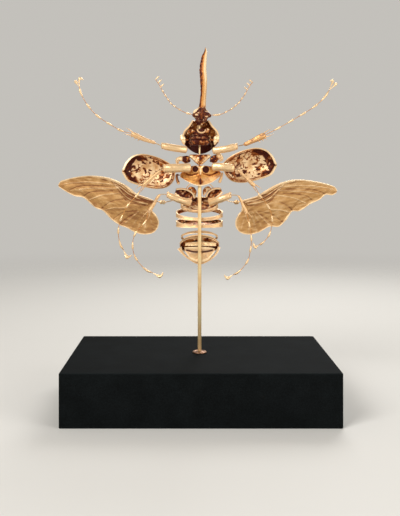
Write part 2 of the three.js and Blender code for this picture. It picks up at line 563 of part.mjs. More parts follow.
function leg(name, { femur, stout, inner = 1, inset, tibia, broad, teeth, beads, claws, hook }) {
  const place = ([x, z]) => at(x, LEG_Y, z);
  const thigh = femur.map(place);
  thigh[0].y += inset;
  const bar = [[0, 0.7 * inner, 0.5], [0.05, inner, 0.7], [0.35, mix(inner, 1, 0.6), 0.8], [0.7, 1, 0.8],
    [0.94, 0.9, 0.7], [1, 0.55, 0.4]];
  piece(`femur_${name}`, limb(thigh, bar.map(([t, w, d]) => [t, w * stout, d * stout]), 8), "paleGold");

  // A knee wire starts the tibia, which broadens to two spurs at its end
  const shin = tibia.map(place);
  const end = shin[shin.length - 1];
  const along = end.clone().sub(shin[1]).normalize();
  const outward = new THREE.Vector3().crossVectors(along, at(0, -1, 0));
  const knee = thigh[2].clone().addScaledVector(shin[0].clone().sub(thigh[2]).normalize(), GAP);
  const bare = shares([knee, ...shin])[1];
  const shaft = limb([knee, ...shin], [[0, WIRE], [bare * 0.9, WIRE], [mix(bare, 1, 0.04), 0.6 * broad],
    [mix(bare, 1, 0.4), 0.75 * broad, 0.7 * broad], [mix(bare, 1, 0.85), broad, 0.7 * broad],
    [1, 0.7 * broad, 0.5 * broad]], 7);
  const spikes = [-1, 1].map((lean) => spike(
    end.clone().addScaledVector(along, -1).addScaledVector(outward, lean * 0.6 * broad),
    end.clone().addScaledVector(along, SPUR).addScaledVector(outward, lean * SPUR_LEAN).add(at(0, 0.8, 0)),
    0.45));
  for (let i = 0; i < teeth; i++) {
    const root = shin[1].clone().lerp(end, 0.2 + 0.3 * i);
    const down = outward.clone().multiplyScalar(outward.z < 0 ? 1 : -1);
    spikes.push(spike(root, root.clone().addScaledVector(down, broad * 1.7).addScaledVector(along, 1), 0.9));
  }
  piece(`tibia_${name}`, joined(shaft, ...spikes), "gold");

  const elbows = claws.map(place);
  const fork = elbows[0].clone().lerp(elbows[1], 0.5).lerp(place(beads[4]), 0.55);
  const bowed = beads.map(place);
  bowed.forEach((bead, i) => { bead.y -= TARSUS_BOW * Math.sin((Math.PI * (i + 1)) / 6); });
  const path = [end.clone().addScaledVector(along, GAP), ...bowed, fork];
  const share = shares(path);
  const bumps = beads.map((_, i) =>
    ({ share: share[i + 1], reach: i < 4 ? 0.036 : 0.8 * (1 - share[5]), radius: 0.85 }));
  const hooks = elbows.map((elbow, i) => {
    elbow.y += i ? 0.8 : -0.8;
    const claw = [fork, elbow, elbow.clone().add(at(hook[0], 0, hook[1]))];
    return limb(claw, [[0, THREAD], [shares(claw)[1], 0.85], [1, 0.25]], 3);
  });
  piece(`tarsus_${name}`, joined(limb(path, beaded(bumps, THREAD), 4), ...hooks), "paleGold");
}

mount();
head();
for (const [side, parts] of Object.entries(ANTENNAE)) antenna(side, parts);
prothorax();
mesothorax();
metathorax();
for (const [side, parts] of Object.entries(HIND_COXAE)) hindCoxa(side, parts);
abdomen();
for (const [side, sign] of [["left", -1], ["right", 1]]) {
  elytron(side, sign);
  hindWing(side, sign);
}
for (const [name, parts] of Object.entries(LEGS)) leg(name, parts);

export default group;
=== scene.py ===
"""A horned beetle taken apart and mounted in the air, dressed for the camera.

Each piece of the dry insect stands a little away from the next one, underside to the front, on a brass
rod over a slab of black stone. Points are written in millimetres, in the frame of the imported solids, and
become metres when a mesh is made.
"""

import itertools
import math
from collections import namedtuple

import bpy
import numpy as np
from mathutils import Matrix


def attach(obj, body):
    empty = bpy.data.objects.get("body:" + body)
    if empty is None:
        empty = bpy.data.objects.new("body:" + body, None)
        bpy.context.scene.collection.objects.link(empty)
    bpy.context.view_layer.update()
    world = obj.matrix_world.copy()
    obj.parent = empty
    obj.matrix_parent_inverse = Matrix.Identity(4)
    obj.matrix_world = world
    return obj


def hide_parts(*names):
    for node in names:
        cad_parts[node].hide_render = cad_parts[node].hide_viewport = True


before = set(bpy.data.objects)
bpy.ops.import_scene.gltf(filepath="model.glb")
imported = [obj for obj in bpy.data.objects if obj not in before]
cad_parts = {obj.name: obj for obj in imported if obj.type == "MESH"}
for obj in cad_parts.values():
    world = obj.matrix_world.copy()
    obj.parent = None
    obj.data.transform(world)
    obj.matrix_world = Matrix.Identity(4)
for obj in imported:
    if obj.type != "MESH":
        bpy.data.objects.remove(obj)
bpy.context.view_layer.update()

bl_info = {
    "name": "Mounted horned beetle",
    "version": (1, 0, 0),
    "blender": (4, 5, 0),
    "location": "View3D > Sidebar > Beetle",
    "description": "Makes the pieces of a gilded beetle, its mount and a plain studio",
    "category": "Add Mesh",
}

MM = 0.001

# Sizes shared with the solids, in millimetres
SLAB = (180, 120, 35)
FOOT_RADIUS, FOOT_HEIGHT = 5, 1.2
ROD_RADIUS, ROD_SHOULDER, ROD_TOP = 1.3, 159, 199
PIN_RADIUS, PIN_FROM = 0.6, 161
GAP = 0.25
BODY_X = 0.8
WIRE = 0.35
TARSUS_THREAD = 0.2  # what shows of a thread between two beads
LEG_Y, ANTENNA_Y, WING_Y, ELYTRON_Y = -6, -1, 3, 6
TARSUS_BOW = 2.5
WALL = 0.8
FRONT = np.array([0.0, -1.0, 0.0])
SIDES = {"left": -1, "right": 1}

# Points of each plate's grid, along it and across it
GRIDS = {"bell": (112, 78), "boat": (150, 86), "trough": (88, 50), "hoop": (200, 18), "floor": (96, 60),
         "band": (124, 40), "elytron": (164, 98), "wing": (236, 94)}
SAMPLES = 400  # points that measure the length of a curve


# Numbers and curves

def linear(code):
    """An sRGB hex colour as a linear one with alpha."""
    channels = [int(code[i:i + 2], 16) / 255 for i in (1, 3, 5)]
    return [c / 12.92 if c <= 0.04045 else ((c + 0.055) / 1.055) ** 2.4 for c in channels] + [1.0]


def smoothstep(low, high, x):
    t = clamp((x - low) / (high - low))
    return t * t * (3 - 2 * t)


def hump(x, centre, width):
    return np.exp(-(((x - centre) / width) ** 2))


def clamp(x):
    return np.clip(x, 0, 1)


def most(*values):
    """The highest of some arrays, point by point."""
    return np.maximum.reduce(values)


def unit(vectors):
    return vectors / np.maximum(np.linalg.norm(vectors, axis=-1, keepdims=True), 1e-9)


def curve(points, t):
    """A centripetal Catmull-Rom curve through the points, at shares t of its run from point to point."""
    p = np.asarray(points, float)
    p = np.vstack([2 * p[0] - p[1], p, 2 * p[-1] - p[-2]])
    spans = len(p) - 3
    place = np.clip(np.asarray(t, float) * spans, 0, spans - 1e-9)
    i = place.astype(int)
    f = (place - i)[..., None]
    p0, p1, p2, p3 = (p[i + k] for k in range(4))
    d0, d1, d2 = (np.maximum(np.linalg.norm(b - a, axis=-1), 1e-9)[..., None] ** 0.5
                  for a, b in ((p0, p1), (p1, p2), (p2, p3)))
    m1 = ((p1 - p0) / d0 - (p2 - p0) / (d0 + d1) + (p2 - p1) / d1) * d1
    m2 = ((p2 - p1) / d1 - (p3 - p1) / (d1 + d2) + (p3 - p2) / d2) * d1
    return p1 + m1 * f + (3 * (p2 - p1) - 2 * m1 - m2) * f ** 2 + (2 * (p1 - p2) + m1 + m2) * f ** 3


def shares(path):
    """The share of a path's length at each of its points."""
    run = np.concatenate([[0], np.cumsum(np.linalg.norm(np.diff(path, axis=0), axis=1))])
    return run / run[-1]


def by_length(points, share):
    """The same curve at shares of its length."""
    t = np.linspace(0, 1, SAMPLES)
    return curve(points, np.interp(share, shares(curve(points, t)), t))


def around(sides):
    """Angles of points spaced evenly round a ring."""
    return np.linspace(0, 2 * np.pi, sides, endpoint=False)


def sheet(along, across):
    """Shares u and v of the points of a grid."""
    return np.meshgrid(np.linspace(0, 1, along), np.linspace(0, 1, across), indexing="ij")


def profile(stations, t):
    """Half width and half depth at t, smooth through stations [share, width, depth] with no overshoot."""
    rows = np.array([row if len(row) == 3 else (*row, row[1]) for row in stations], float)
    x, y = rows[:, 0], rows[:, 1:]
    slope = np.diff(y, axis=0) / np.diff(x)[:, None]
    tangent = np.zeros_like(y)
    same = slope[:-1] * slope[1:] > 0
    tangent[1:-1] = np.where(same, 2 * slope[:-1] * slope[1:] / np.where(same, slope[:-1] + slope[1:], 1), 0)
    i = np.clip(np.searchsorted(x, t, side="right") - 1, 0, len(x) - 2)
    h = (x[i + 1] - x[i])[:, None]
    f = ((t - x[i]) / h[:, 0])[:, None]
    value = (y[i] * (1 + 2 * f) * (1 - f) ** 2 + tangent[i] * h * f * (1 - f) ** 2
             + y[i + 1] * f * f * (3 - 2 * f) + tangent[i + 1] * h * f * f * (f - 1))
    return value[:, 0], value[:, 1]


def grain(points, size, seed=0):
    """Smooth noise from 0 to 1 whose lumps are that size."""
    scaled = points / size + 17.3 * seed
    cell = np.floor(scaled).astype(np.int64)
    part = scaled - cell
    part = part * part * (3 - 2 * part)
    total = 0.0
    for corner in itertools.product((0, 1), repeat=3):
        c = cell + np.array(corner)
        mixed = (c[..., 0] * 73856093) ^ (c[..., 1] * 19349663) ^ (c[..., 2] * 83492791)
        mixed = (mixed ^ (mixed >> 13)) * 1274126177
        value = ((mixed ^ (mixed >> 16)) & 0xFFFF) / 0xFFFF
        total = total + value * np.prod(np.where(corner, part, 1 - part), axis=-1)
    return total


def rough(points, size, seed=0):
    """Noise of three sizes, from 0 to 1."""
    return sum(grain(points, size / 2 ** k, seed + k) / 2 ** k for k in range(3)) / 1.75


def uneven(points, size, seed=0):
    """The same noise about zero, from -0.5 to 0.5."""
    return rough(points, size, seed) - 0.5


def creases(points, size, width, seed=0):
    """1 along the wandering closed lines of a noise, 0 away from them."""
    return 1 - smoothstep(0, width, np.abs(uneven(points, size, seed)))


def near(points, line, samples=40):
    """How far each [x, z] point is from a smooth line."""
    path = curve(line, np.linspace(0, 1, samples))
    best = np.full(points.shape[:-1], 1e9)
    for a, b in zip(path[:-1], path[1:]):
        along = clamp(((points - a) @ (b - a)) / ((b - a) @ (b - a)))
        best = np.minimum(best, np.linalg.norm(points - a - along[..., None] * (b - a), axis=-1))
    return best


# Skins: points with faces, and what each point wears. Patina is 0 where the gold leaf is whole and 1
# where bare dark cuticle shows; it also carries painted shade at the pronotum's foot, on the edges of the
# femora and fore coxae and beside a wing's first veins. Shine is 1 where the leaf is rubbed to pale cream;
# it also carries painted highlights along the head's sides, on its cheek and on the slab's edges.

Skin = namedtuple("Skin", "points quads triangles patina shine")


def turned_out(points, quads, triangles, patina, shine):
    """A skin with its faces to the outside."""
    corners = np.vstack([triangles, quads[:, :3], quads[:, [0, 2, 3]]])
    a, b, c = (points[corners[:, k]] for k in range(3))
    if np.einsum("ij,ij->", a, np.cross(b, c)) < 0:
        quads, triangles = quads[:, ::-1], triangles[:, ::-1]
    return Skin(points, quads, triangles, patina, shine)


def ringed(rings, patina=0.0, shine=0.0):
    """A closed skin over rings of points, each end shut by a fan."""
    m, n, _ = rings.shape
    index = np.arange(m * n).reshape(m, n)
    after = np.roll(index, -1, axis=1)
    quads = np.stack([index[:-1], after[:-1], after[1:], index[1:]], axis=-1).reshape(-1, 4)
    first = np.stack([np.full(n, m * n), after[0], index[0]], axis=-1)
    last = np.stack([np.full(n, m * n + 1), index[-1], after[-1]], axis=-1)
    points = np.vstack([rings.reshape(-1, 3), rings[0].mean(0), rings[-1].mean(0)])
    worn = []
    for wear in (patina, shine):
        whole = np.broadcast_to(wear, (m, n))
        worn.append(np.concatenate([whole.ravel(), [whole[0].mean(), whole[-1].mean()]]))
    return turned_out(points, quads, np.vstack([first, last]), *worn)


def facing(grid, hoop):
    """Unit normals of a grid: to the front of a plate, or out of a hoop."""
    du = np.roll(grid, -1, 0) - np.roll(grid, 1, 0) if hoop else np.gradient(grid, axis=0)
    normal = unit(np.cross(du, np.gradient(grid, axis=1)))
    outward = grid - grid.mean((0, 1)) if hoop else FRONT
    return normal if np.sum(normal * outward) > 0 else -normal


def plate(grid, thickness, relief=(0, 0), patina=(0, 0), shine=(0, 0), hoop=False):
    """A thin closed plate; each pair is for its front (a hoop's outside) and its back (a hoop's inside)."""
    normal = facing(grid, hoop)
    depth = [np.broadcast_to(thickness / 2 + r, grid.shape[:2])[..., None] for r in relief]
    points = np.vstack([(grid + normal * depth[0]).reshape(-1, 3), (grid - normal * depth[1]).reshape(-1, 3)])
    f = np.arange(grid.shape[0] * grid.shape[1]).reshape(grid.shape[:2])
    b = f + f.size
    if hoop:
        f, b = np.vstack([f, f[:1]]), np.vstack([b, b[:1]])

    def strip(p, q, r, s):
        return np.stack([p, q, r, s], axis=-1).reshape(-1, 4)

    quads = [strip(f[:-1, :-1], f[1:, :-1], f[1:, 1:], f[:-1, 1:]),
             strip(b[:-1, 1:], b[1:, 1:], b[1:, :-1], b[:-1, :-1]),
             strip(f[1:, 0], f[:-1, 0], b[:-1, 0], b[1:, 0]),
             strip(f[:-1, -1], f[1:, -1], b[1:, -1], b[:-1, -1])]
    if not hoop:
        quads += [strip(f[0, :-1], f[0, 1:], b[0, 1:], b[0, :-1]),
                  strip(f[-1, 1:], f[-1, :-1], b[-1, :-1], b[-1, 1:])]
    worn = [np.concatenate([np.broadcast_to(w, grid.shape[:2]).ravel() for w in pair])
            for pair in (patina, shine)]
    return turned_out(points, np.vstack(quads), np.zeros((0, 3), int), *worn)


def wear_at(wears, *places):
    """Patina and shine at those places; each is a function of them or one value."""
    return [wear(*places) if callable(wear) else wear for wear in wears]


def tube(path, t, width, depth, sides, relief=None, patina=0.0, shine=0.0):
    """A limb along a curve: at each share t an ellipse of half width (across) and half depth (front)."""
    centre = by_length(path, t)
    even = np.linspace(0, 1, SAMPLES)
    ways = unit(np.gradient(by_length(path, even), axis=0))
    along = unit(np.stack([np.interp(t, even, ways[:, k]) for k in range(3)], axis=-1))
    across = unit(np.cross(along, FRONT))
    front = np.cross(across, along)
    angle = around(sides)
    out = across[:, None] * np.cos(angle)[:, None] * width[:, None, None]
    out = out + front[:, None] * np.sin(angle)[:, None] * depth[:, None, None]
    rings = centre[:, None] + out
    if relief is not None:
        rings = rings + unit(out) * relief(rings, angle[None, :], t[:, None])[..., None]
    return ringed(rings, *wear_at((patina, shine), rings, angle[None, :], t[:, None]))


def limb(path, stations, sides=24, rings=60, **looks):
    """A tube shaped by stations, with rounded ends."""
    path = np.asarray(path, float)
    even = np.linspace(0, 1, rings)
    t = 0.45 * even + 0.55 * (0.5 - 0.5 * np.cos(np.pi * even))
    width, depth = profile(stations, t)
    run = np.linalg.norm(np.diff(path, axis=0), axis=1).sum()
    end = np.minimum(t, 1 - t) * run
    radius = np.where(t < 0.5, min(width[0], depth[0]), min(width[-1], depth[-1]))
    dome = np.sqrt(np.clip(1 - (1 - np.minimum(end / radius, 1)) ** 2, 0.02, 1))
    return tube(path, t, width * dome, depth * dome, sides, **looks)


def beaded(path, beads, thread, sides=12, rings=320):
    """A thread with spindle beads (share, reach, radius), each fuller towards its far end."""
    t = np.linspace(0, 1, rings)
    width = np.full(rings, thread)
    for share, reach, radius in beads:
        s = (t - share) / reach
        body = clamp(1 - s * s) ** 0.6 * (0.78 + 0.3 * s)
        width = np.maximum(width, thread + (radius - thread) * np.where(np.abs(s) < 1, body, 0))
    bare = smoothstep(0.5, 0.1, (width - thread) / (width.max() - thread))[:, None]
    return tube(np.asarray(path, float), t, width, width, sides, patina=0.45 * bare, shine=0.55 - 0.45 * bare)


def wire(path, radius=WIRE, shine=0.5):
    return limb(path, [(0, radius), (1, radius)], sides=12, rings=48, shine=shine)


def spike(start, end, radius, bend=None, shine=0.5):
    middle = (np.asarray(start) + end) / 2 + (0 if bend is None else np.asarray(bend))
    return limb([start, middle, end], [(0, radius), (0.4, 0.7 * radius), (1, 0.07)], sides=8, rings=16,
                shine=shine)


def lump(centre, radii, sides=28, size=1.2, height=0.15, patina=0.0, shine=0.0, seed=0):
    """A rounded pad with a little unevenness."""
    lat = np.linspace(-0.5, 0.5, 20)[1:-1] * np.pi
    angle = around(sides)
    ball = np.stack(np.broadcast_arrays(
        np.cos(lat)[:, None] * np.cos(angle), np.cos(lat)[:, None] * np.sin(angle), np.sin(lat)[:, None]), -1)
    rings = np.asarray(centre) + ball * np.asarray(radii)
    rings = rings + ball * (height * uneven(rings, size, seed))[..., None]
    return ringed(rings, patina, shine)


def lathe(rows, sides, centre=(0, 0)):
    """A turned piece: rows of [radius, z]."""
    angle = around(sides)
    rings = np.stack([np.stack([centre[0] + r * np.cos(angle), centre[1] + r * np.sin(angle),
                                np.full(sides, z)], axis=-1) for r, z in rows])
    return ringed(rings)


def stack(sections, sides, rings, relief=None, patina=0.0, shine=0.0):
    """Level ellipses [x, y, z, half width, half depth], smoothed from the bottom up."""
    rows = curve(sections, np.linspace(0, 1, rings))
    angle = around(sides)
    out = np.stack(np.broadcast_arrays(np.cos(angle) * rows[:, 3:4], np.sin(angle) * rows[:, 4:5], 0.0), -1)
    points = rows[:, None, :3] + out
    if relief is not None:
        points = points + unit(out) * relief(points, angle)[..., None]
    return ringed(points, *wear_at((patina, shine), points, angle))


def between(first, second, size, depth):
    """A grid of that size from one [x, y, z] edge to the other, pushed back by depth(u, v, grid)."""
    u, v = sheet(*size)
    grid = curve(first, u) * (1 - v[..., None]) + curve(second, u) * v[..., None]
    grid[..., 1] += depth(u, v, grid)
    return u, v, grid


def at_depth(points, y):
    return [(x, y, z) for x, z in points]


# Sizes and colours that a user would change

def length(name, description, default):
    return bpy.props.FloatProperty(name=name, description=description, default=default * MM,
                                   subtype="DISTANCE", unit="LENGTH")


def colour(name, description, code):
    return bpy.props.FloatVectorProperty(name=name, description=description, default=linear(code), size=4,
                                         min=0, max=1, subtype="COLOR")


class BeetleSizes(bpy.types.PropertyGroup):
    """Sizes of the fine forms."""

    slab_edge: length("Slab edge", "Radius of the slab's edges", 0.6)
    rim: length("Elytron rim", "Width of the rolled rim of an elytron", 0.45)
    crumple: length("Crumple", "Height of the crumples inside the elytra", 0.6)
    vein: length("Vein", "Height of a wing's veins", 0.34)
    crinkle: length("Crinkle", "Height of the crinkles on a wing", 0.2)
    bead: length("Bead", "Radius of the beads of a tarsus", 0.85)
    spur: length("Spur", "Length of the spurs at a tibia's end", 5.5)


class BeetleColours(bpy.types.PropertyGroup):
    """Colours of the finishes."""

    leaf: colour("Gold leaf", "Whole gold leaf", "#E0A25A")
    cream: colour("Rubbed leaf", "Gold leaf rubbed pale", "#FDDDAE")
    tarnish: colour("Tarnish", "Thin leaf over cuticle", "#A85A22")
    cuticle: colour("Cuticle", "Bare dark cuticle", "#47160B")
    wing: colour("Wing", "Gilded wing membrane", "#BF9158")
    wing_fold: colour("Wing fold", "Membrane in the folds", "#7A4626")
    wire: colour("Wire", "Fine mounting wire", "#D8C6A4")
    brass: colour("Brass", "The support rod", "#F5DEA9")
    copper: colour("Copper", "The rod's foot", "#A27A60")
    stone: colour("Stone", "The slab", "#070909")
    stone_grain: colour("Stone grain", "Pale grains in the slab", "#181C1D")


class BeetleStudio(bpy.types.PropertyGroup):
    """Floor, light and camera."""

    floor: colour("Floor", "The pale floor", "#DAD7D1")
    key: bpy.props.FloatProperty(name="Key light", description="Power of the key light", default=9.0,
                                 unit="POWER")
    fill: bpy.props.FloatProperty(name="Fill light", description="Power of the fill light", default=4.0,
                                  unit="POWER")
    back: bpy.props.FloatProperty(name="Back light", description="Power of the back light", default=5.0,
                                  unit="POWER")
    lens: bpy.props.FloatProperty(name="Lens", description="Focal length on the 36 mm long side",
                                  default=55.07, subtype="DISTANCE_CAMERA")


# Materials

def add_node(tree, kind, inputs=None, stops=(), **settings):
    """Adds a node: an input that is a socket is linked, any other value is set; stops fill a colour ramp."""
    node = tree.nodes.new(kind)
    for key, value in settings.items():
        setattr(node, key, value)
    for key, value in (inputs or {}).items():
        if isinstance(value, bpy.types.NodeSocket):
            tree.links.new(value, node.inputs[key])
        else:
            node.inputs[key].default_value = value
    for i, (place, tint) in enumerate(stops):
        stop = node.color_ramp.elements[i] if i < 2 else node.color_ramp.elements.new(place)
        stop.position = place
        stop.color = tint
    return node


def bare_material(name):
    """An empty node material, its tree and the place of a point on the object."""
    material = bpy.data.materials.new(name)
    material.use_nodes = True
    tree = material.node_tree
    tree.nodes.clear()
    return material, tree, add_node(tree, "ShaderNodeTexCoord").outputs["Object"]


def shown(tree, **sockets):
    """A Principled shader with those sockets, linked to the output; names hold _ for a space."""
    inputs = {key.replace("_", " "): value for key, value in sockets.items()}
    shader = add_node(tree, "ShaderNodeBsdfPrincipled", inputs)
    add_node(tree, "ShaderNodeOutputMaterial", {"Surface": shader.outputs[0]})


def gilded_cuticle(name, leaf, tarnish, cuticle, cream, mottling, gloss, metallic=0.85):
    """Gold leaf laid on dry insect cuticle. The leaf is bright and metallic, breaks into brown tarnish in
    patches and leaves the hollows dark red; its crests are rubbed pale, and fine pits carry painted glints.
    The patina and shine attributes also bring in the painted shade and painted highlights of some pieces."""
    material, tree, place = bare_material(name)
    patina = add_node(tree, "ShaderNodeAttribute", attribute_name="patina").outputs["Fac"]
    shine = add_node(tree, "ShaderNodeAttribute", attribute_name="shine").outputs["Fac"]
    patches = add_node(tree, "ShaderNodeTexNoise", {"Vector": place, "Scale": 1 / (mottling * MM),
                                                    "Detail": 5.0, "Roughness": 0.62}).outputs["Fac"]
    pits = add_node(tree, "ShaderNodeTexNoise", {"Vector": place, "Scale": 1 / (0.35 * MM),
                                                 "Detail": 2.0}).outputs["Fac"]
    worn = add_node(tree, "ShaderNodeMath", {0: patches, 1: 0.75, 2: patina}, operation="MULTIPLY_ADD")
    tint = add_node(tree, "ShaderNodeValToRGB", {"Fac": worn.outputs[0]}, stops=[
        (0.3, leaf), (1.0, cuticle), (0.55, [0.5 * (a + b) for a, b in zip(leaf, tarnish)]), (0.7, tarnish)])
    # pale cream: rubbed leaf, the painted highlights that shine carries on some pieces, and painted glints on
    # the fine pits
    rubbed = add_node(tree, "ShaderNodeMath", {0: pits, 1: 0.5, 2: shine}, operation="MULTIPLY_ADD")
    pale = add_node(tree, "ShaderNodeMapRange", {"Value": rubbed.outputs[0], "From Min": 0.35,
                                                 "From Max": 1.1})
    tone = add_node(tree, "ShaderNodeMix", {0: pale.outputs[0], 6: tint.outputs[0], 7: cream},
                    data_type="RGBA")
    whole = add_node(tree, "ShaderNodeMapRange", {"Value": worn.outputs[0], "From Min": 0.45,
                                                  "From Max": 1.05, "To Min": metallic, "To Max": 0.15})
    metal = add_node(tree, "ShaderNodeMath", {0: pale.outputs[0], 1: -0.35, 2: whole.outputs[0]},
                     operation="MULTIPLY_ADD", use_clamp=True)
    matt = add_node(tree, "ShaderNodeMapRange", {"Value": pits, "To Min": gloss, "To Max": gloss + 0.22})
    relief = add_node(tree, "ShaderNodeMath", {0: patches, 1: 0.8, 2: pits}, operation="MULTIPLY_ADD")
    bump = add_node(tree, "ShaderNodeBump", {"Height": relief.outputs[0], "Strength": 0.38,
                                             "Distance": 0.25 * MM})
    shown(tree, Base_Color=tone.outputs[2], Metallic=metal.outputs[0], Roughness=matt.outputs[0],
          Specular_IOR_Level=0.2, Normal=bump.outputs[0])
    return material


def gilt_chitin(c):
    """The plates, the elytra and the tibiae: leaf in large patches."""
    return gilded_cuticle("gilded_beetle_cuticle", c.leaf, c.tarnish, c.cuticle, c.cream, 2.4, 0.34)


def pale_gilt_chitin(c):
    """The femora, tarsi, antennae, fore coxae and last ring: the same leaf, laid thick and rubbed."""
    soft = [0.5 * (a + b) for a, b in zip(c.leaf, c.cream)]
    return gilded_cuticle("rubbed_gilded_cuticle", soft, c.leaf, c.tarnish, c.cream, 3.2, 0.24)


def dark_chitin(c):
    """The head, the prothorax, the side plates and the hind coxae: less metal and more bare cuticle."""
    return gilded_cuticle("bare_beetle_cuticle", c.leaf, c.tarnish, c.cuticle, c.cream, 1.6, 0.34, 0.4)


def wing_membrane(c):
    """Dried wing membrane under matt gilding: tan gold with a soft sheen, darker along the folds and paler
    on the veins and the hem, with crinkles that run along the wing. The crinkles are drawn at 0.5 mm,
    coarser than real ones, so that they show."""
    material, tree, place = bare_material("gilded_wing_membrane")
    along = add_node(tree, "ShaderNodeMapping", {"Vector": place, "Scale": (0.22, 1.0, 1.0)}).outputs[0]
    patina = add_node(tree, "ShaderNodeAttribute", attribute_name="patina").outputs["Fac"]
    shine = add_node(tree, "ShaderNodeAttribute", attribute_name="shine").outputs["Fac"]
    streaks = add_node(tree, "ShaderNodeTexNoise", {"Vector": along, "Scale": 1 / (0.5 * MM), "Detail": 4.0,
                                                    "Roughness": 0.6}).outputs["Fac"]
    clouds = add_node(tree, "ShaderNodeTexNoise", {"Vector": place, "Scale": 1 / (6 * MM),
                                                   "Detail": 3.0}).outputs["Fac"]
    mixed = add_node(tree, "ShaderNodeMath", {0: clouds, 1: 0.5, 2: streaks}, operation="MULTIPLY_ADD")
    folded = add_node(tree, "ShaderNodeMath", {0: mixed.outputs[0], 1: 0.45, 2: patina},
                      operation="MULTIPLY_ADD")
    tint = add_node(tree, "ShaderNodeMapRange", {"Value": folded.outputs[0], "From Min": 0.3,
                                                 "From Max": 1.0})
    skin = add_node(tree, "ShaderNodeMix", {0: tint.outputs[0], 6: c.wing, 7: c.wing_fold}, data_type="RGBA")
    tone = add_node(tree, "ShaderNodeMix", {0: shine, 6: skin.outputs[2], 7: c.cream}, data_type="RGBA")
    matt = add_node(tree, "ShaderNodeMapRange", {"Value": streaks, "To Min": 0.45, "To Max": 0.7})
    bump = add_node(tree, "ShaderNodeBump", {"Height": mixed.outputs[0], "Strength": 0.5,
                                             "Distance": 0.2 * MM})
    shown(tree, Base_Color=tone.outputs[2], Metallic=0.35, Roughness=matt.outputs[0], Specular_IOR_Level=0.25,
          Normal=bump.outputs[0])
    return material


def drawn_metal(name, tint, dull, stretch, gloss, metallic=1.0):
    """Metal drawn through a die or turned on a lathe: fine lines one way, with a little tarnish in them."""
    material, tree, place = bare_material(name)
    along = add_node(tree, "ShaderNodeMapping", {"Vector": place, "Scale": stretch}).outputs[0]
    lines = add_node(tree, "ShaderNodeTexNoise", {"Vector": along, "Scale": 1 / (0.25 * MM),
                                                  "Detail": 3.0}).outputs["Fac"]
    clouds = add_node(tree, "ShaderNodeTexNoise", {"Vector": place, "Scale": 1 / (9 * MM),
                                                   "Detail": 4.0}).outputs["Fac"]
    worn = add_node(tree, "ShaderNodeMath", {0: lines, 1: 0.5, 2: clouds}, operation="MULTIPLY_ADD")
    share = add_node(tree, "ShaderNodeMapRange", {"Value": worn.outputs[0], "From Min": 0.6, "From Max": 1.1})
    tone = add_node(tree, "ShaderNodeMix", {0: share.outputs[0], 6: tint, 7: dull}, data_type="RGBA")
    matt = add_node(tree, "ShaderNodeMapRange", {"Value": worn.outputs[0], "From Min": 0.4, "From Max": 1.1,
                                                 "To Min": gloss, "To Max": gloss + 0.2})
    bump = add_node(tree, "ShaderNodeBump", {"Height": lines, "Strength": 0.25, "Distance": 0.05 * MM})
    shown(tree, Base_Color=tone.outputs[2], Metallic=metallic, Roughness=matt.outputs[0],
          Normal=bump.outputs[0])
    return material


def mounting_wire(c):
    """Tinned brass wire."""
    return drawn_metal("tinned_brass_wire", c.wire, c.leaf, (1, 1, 0.3), 0.25)


def rod_brass(c):
    """Drawn brass rod with lines along its length."""
    return drawn_metal("drawn_brass_rod", c.brass, c.leaf, (1, 1, 0.02), 0.42, 0.45)


def foot_copper(c):
    """A turned copper foot."""
    dull = [0.45 * x for x in c.copper[:3]] + [1.0]
    return drawn_metal("turned_copper", c.copper, dull, (1, 1, 1), 0.32)


def black_stone(c):
    """Black granite, sawn and honed: nearly black and matt, with pale grains of about 0.7 mm (coarser than
    the real ones, so that they show), clouds of a lighter tone and a painted highlight of grey on its edges."""
    material, tree, place = bare_material("honed_black_granite")
    shine = add_node(tree, "ShaderNodeAttribute", attribute_name="shine").outputs["Fac"]
    grains = add_node(tree, "ShaderNodeTexNoise", {"Vector": place, "Scale": 1 / (0.7 * MM), "Detail": 3.0,
                                                   "Roughness": 0.7}).outputs["Fac"]
    clouds = add_node(tree, "ShaderNodeTexNoise", {"Vector": place, "Scale": 1 / (14 * MM),
                                                   "Detail": 4.0}).outputs["Fac"]
    speck = add_node(tree, "ShaderNodeMath", {0: clouds, 1: 0.35, 2: grains}, operation="MULTIPLY_ADD")
    # painted highlight: the shine attribute greys the slab's rounded edges
    rubbed = add_node(tree, "ShaderNodeMath", {0: shine, 1: 0.3, 2: speck.outputs[0]},
                      operation="MULTIPLY_ADD")
    share = add_node(tree, "ShaderNodeMapRange", {"Value": rubbed.outputs[0], "From Min": 0.55,
                                                  "From Max": 1.05})
    tone = add_node(tree, "ShaderNodeMix", {0: share.outputs[0], 6: c.stone, 7: c.stone_grain},
                    data_type="RGBA")
    matt = add_node(tree, "ShaderNodeMapRange", {"Value": grains, "To Min": 0.7, "To Max": 0.9})
    bump = add_node(tree, "ShaderNodeBump", {"Height": grains, "Strength": 0.2, "Distance": 0.12 * MM})
    shown(tree, Base_Color=tone.outputs[2], Roughness=matt.outputs[0], Specular_IOR_Level=0.05,
          Normal=bump.outputs[0])
    return material


FINISHES = {f.__name__: f for f in (gilt_chitin, pale_gilt_chitin, dark_chitin, wing_membrane, mounting_wire,
                                    rod_brass, foot_copper, black_stone)}
MADE = {}


def finish(slot):
    """The material of a slot, made once."""
    if slot not in MADE:
        MADE[slot] = FINISHES[slot](bpy.context.scene.beetle_colours)
    return MADE[slot]


SHARP = math.radians(55)


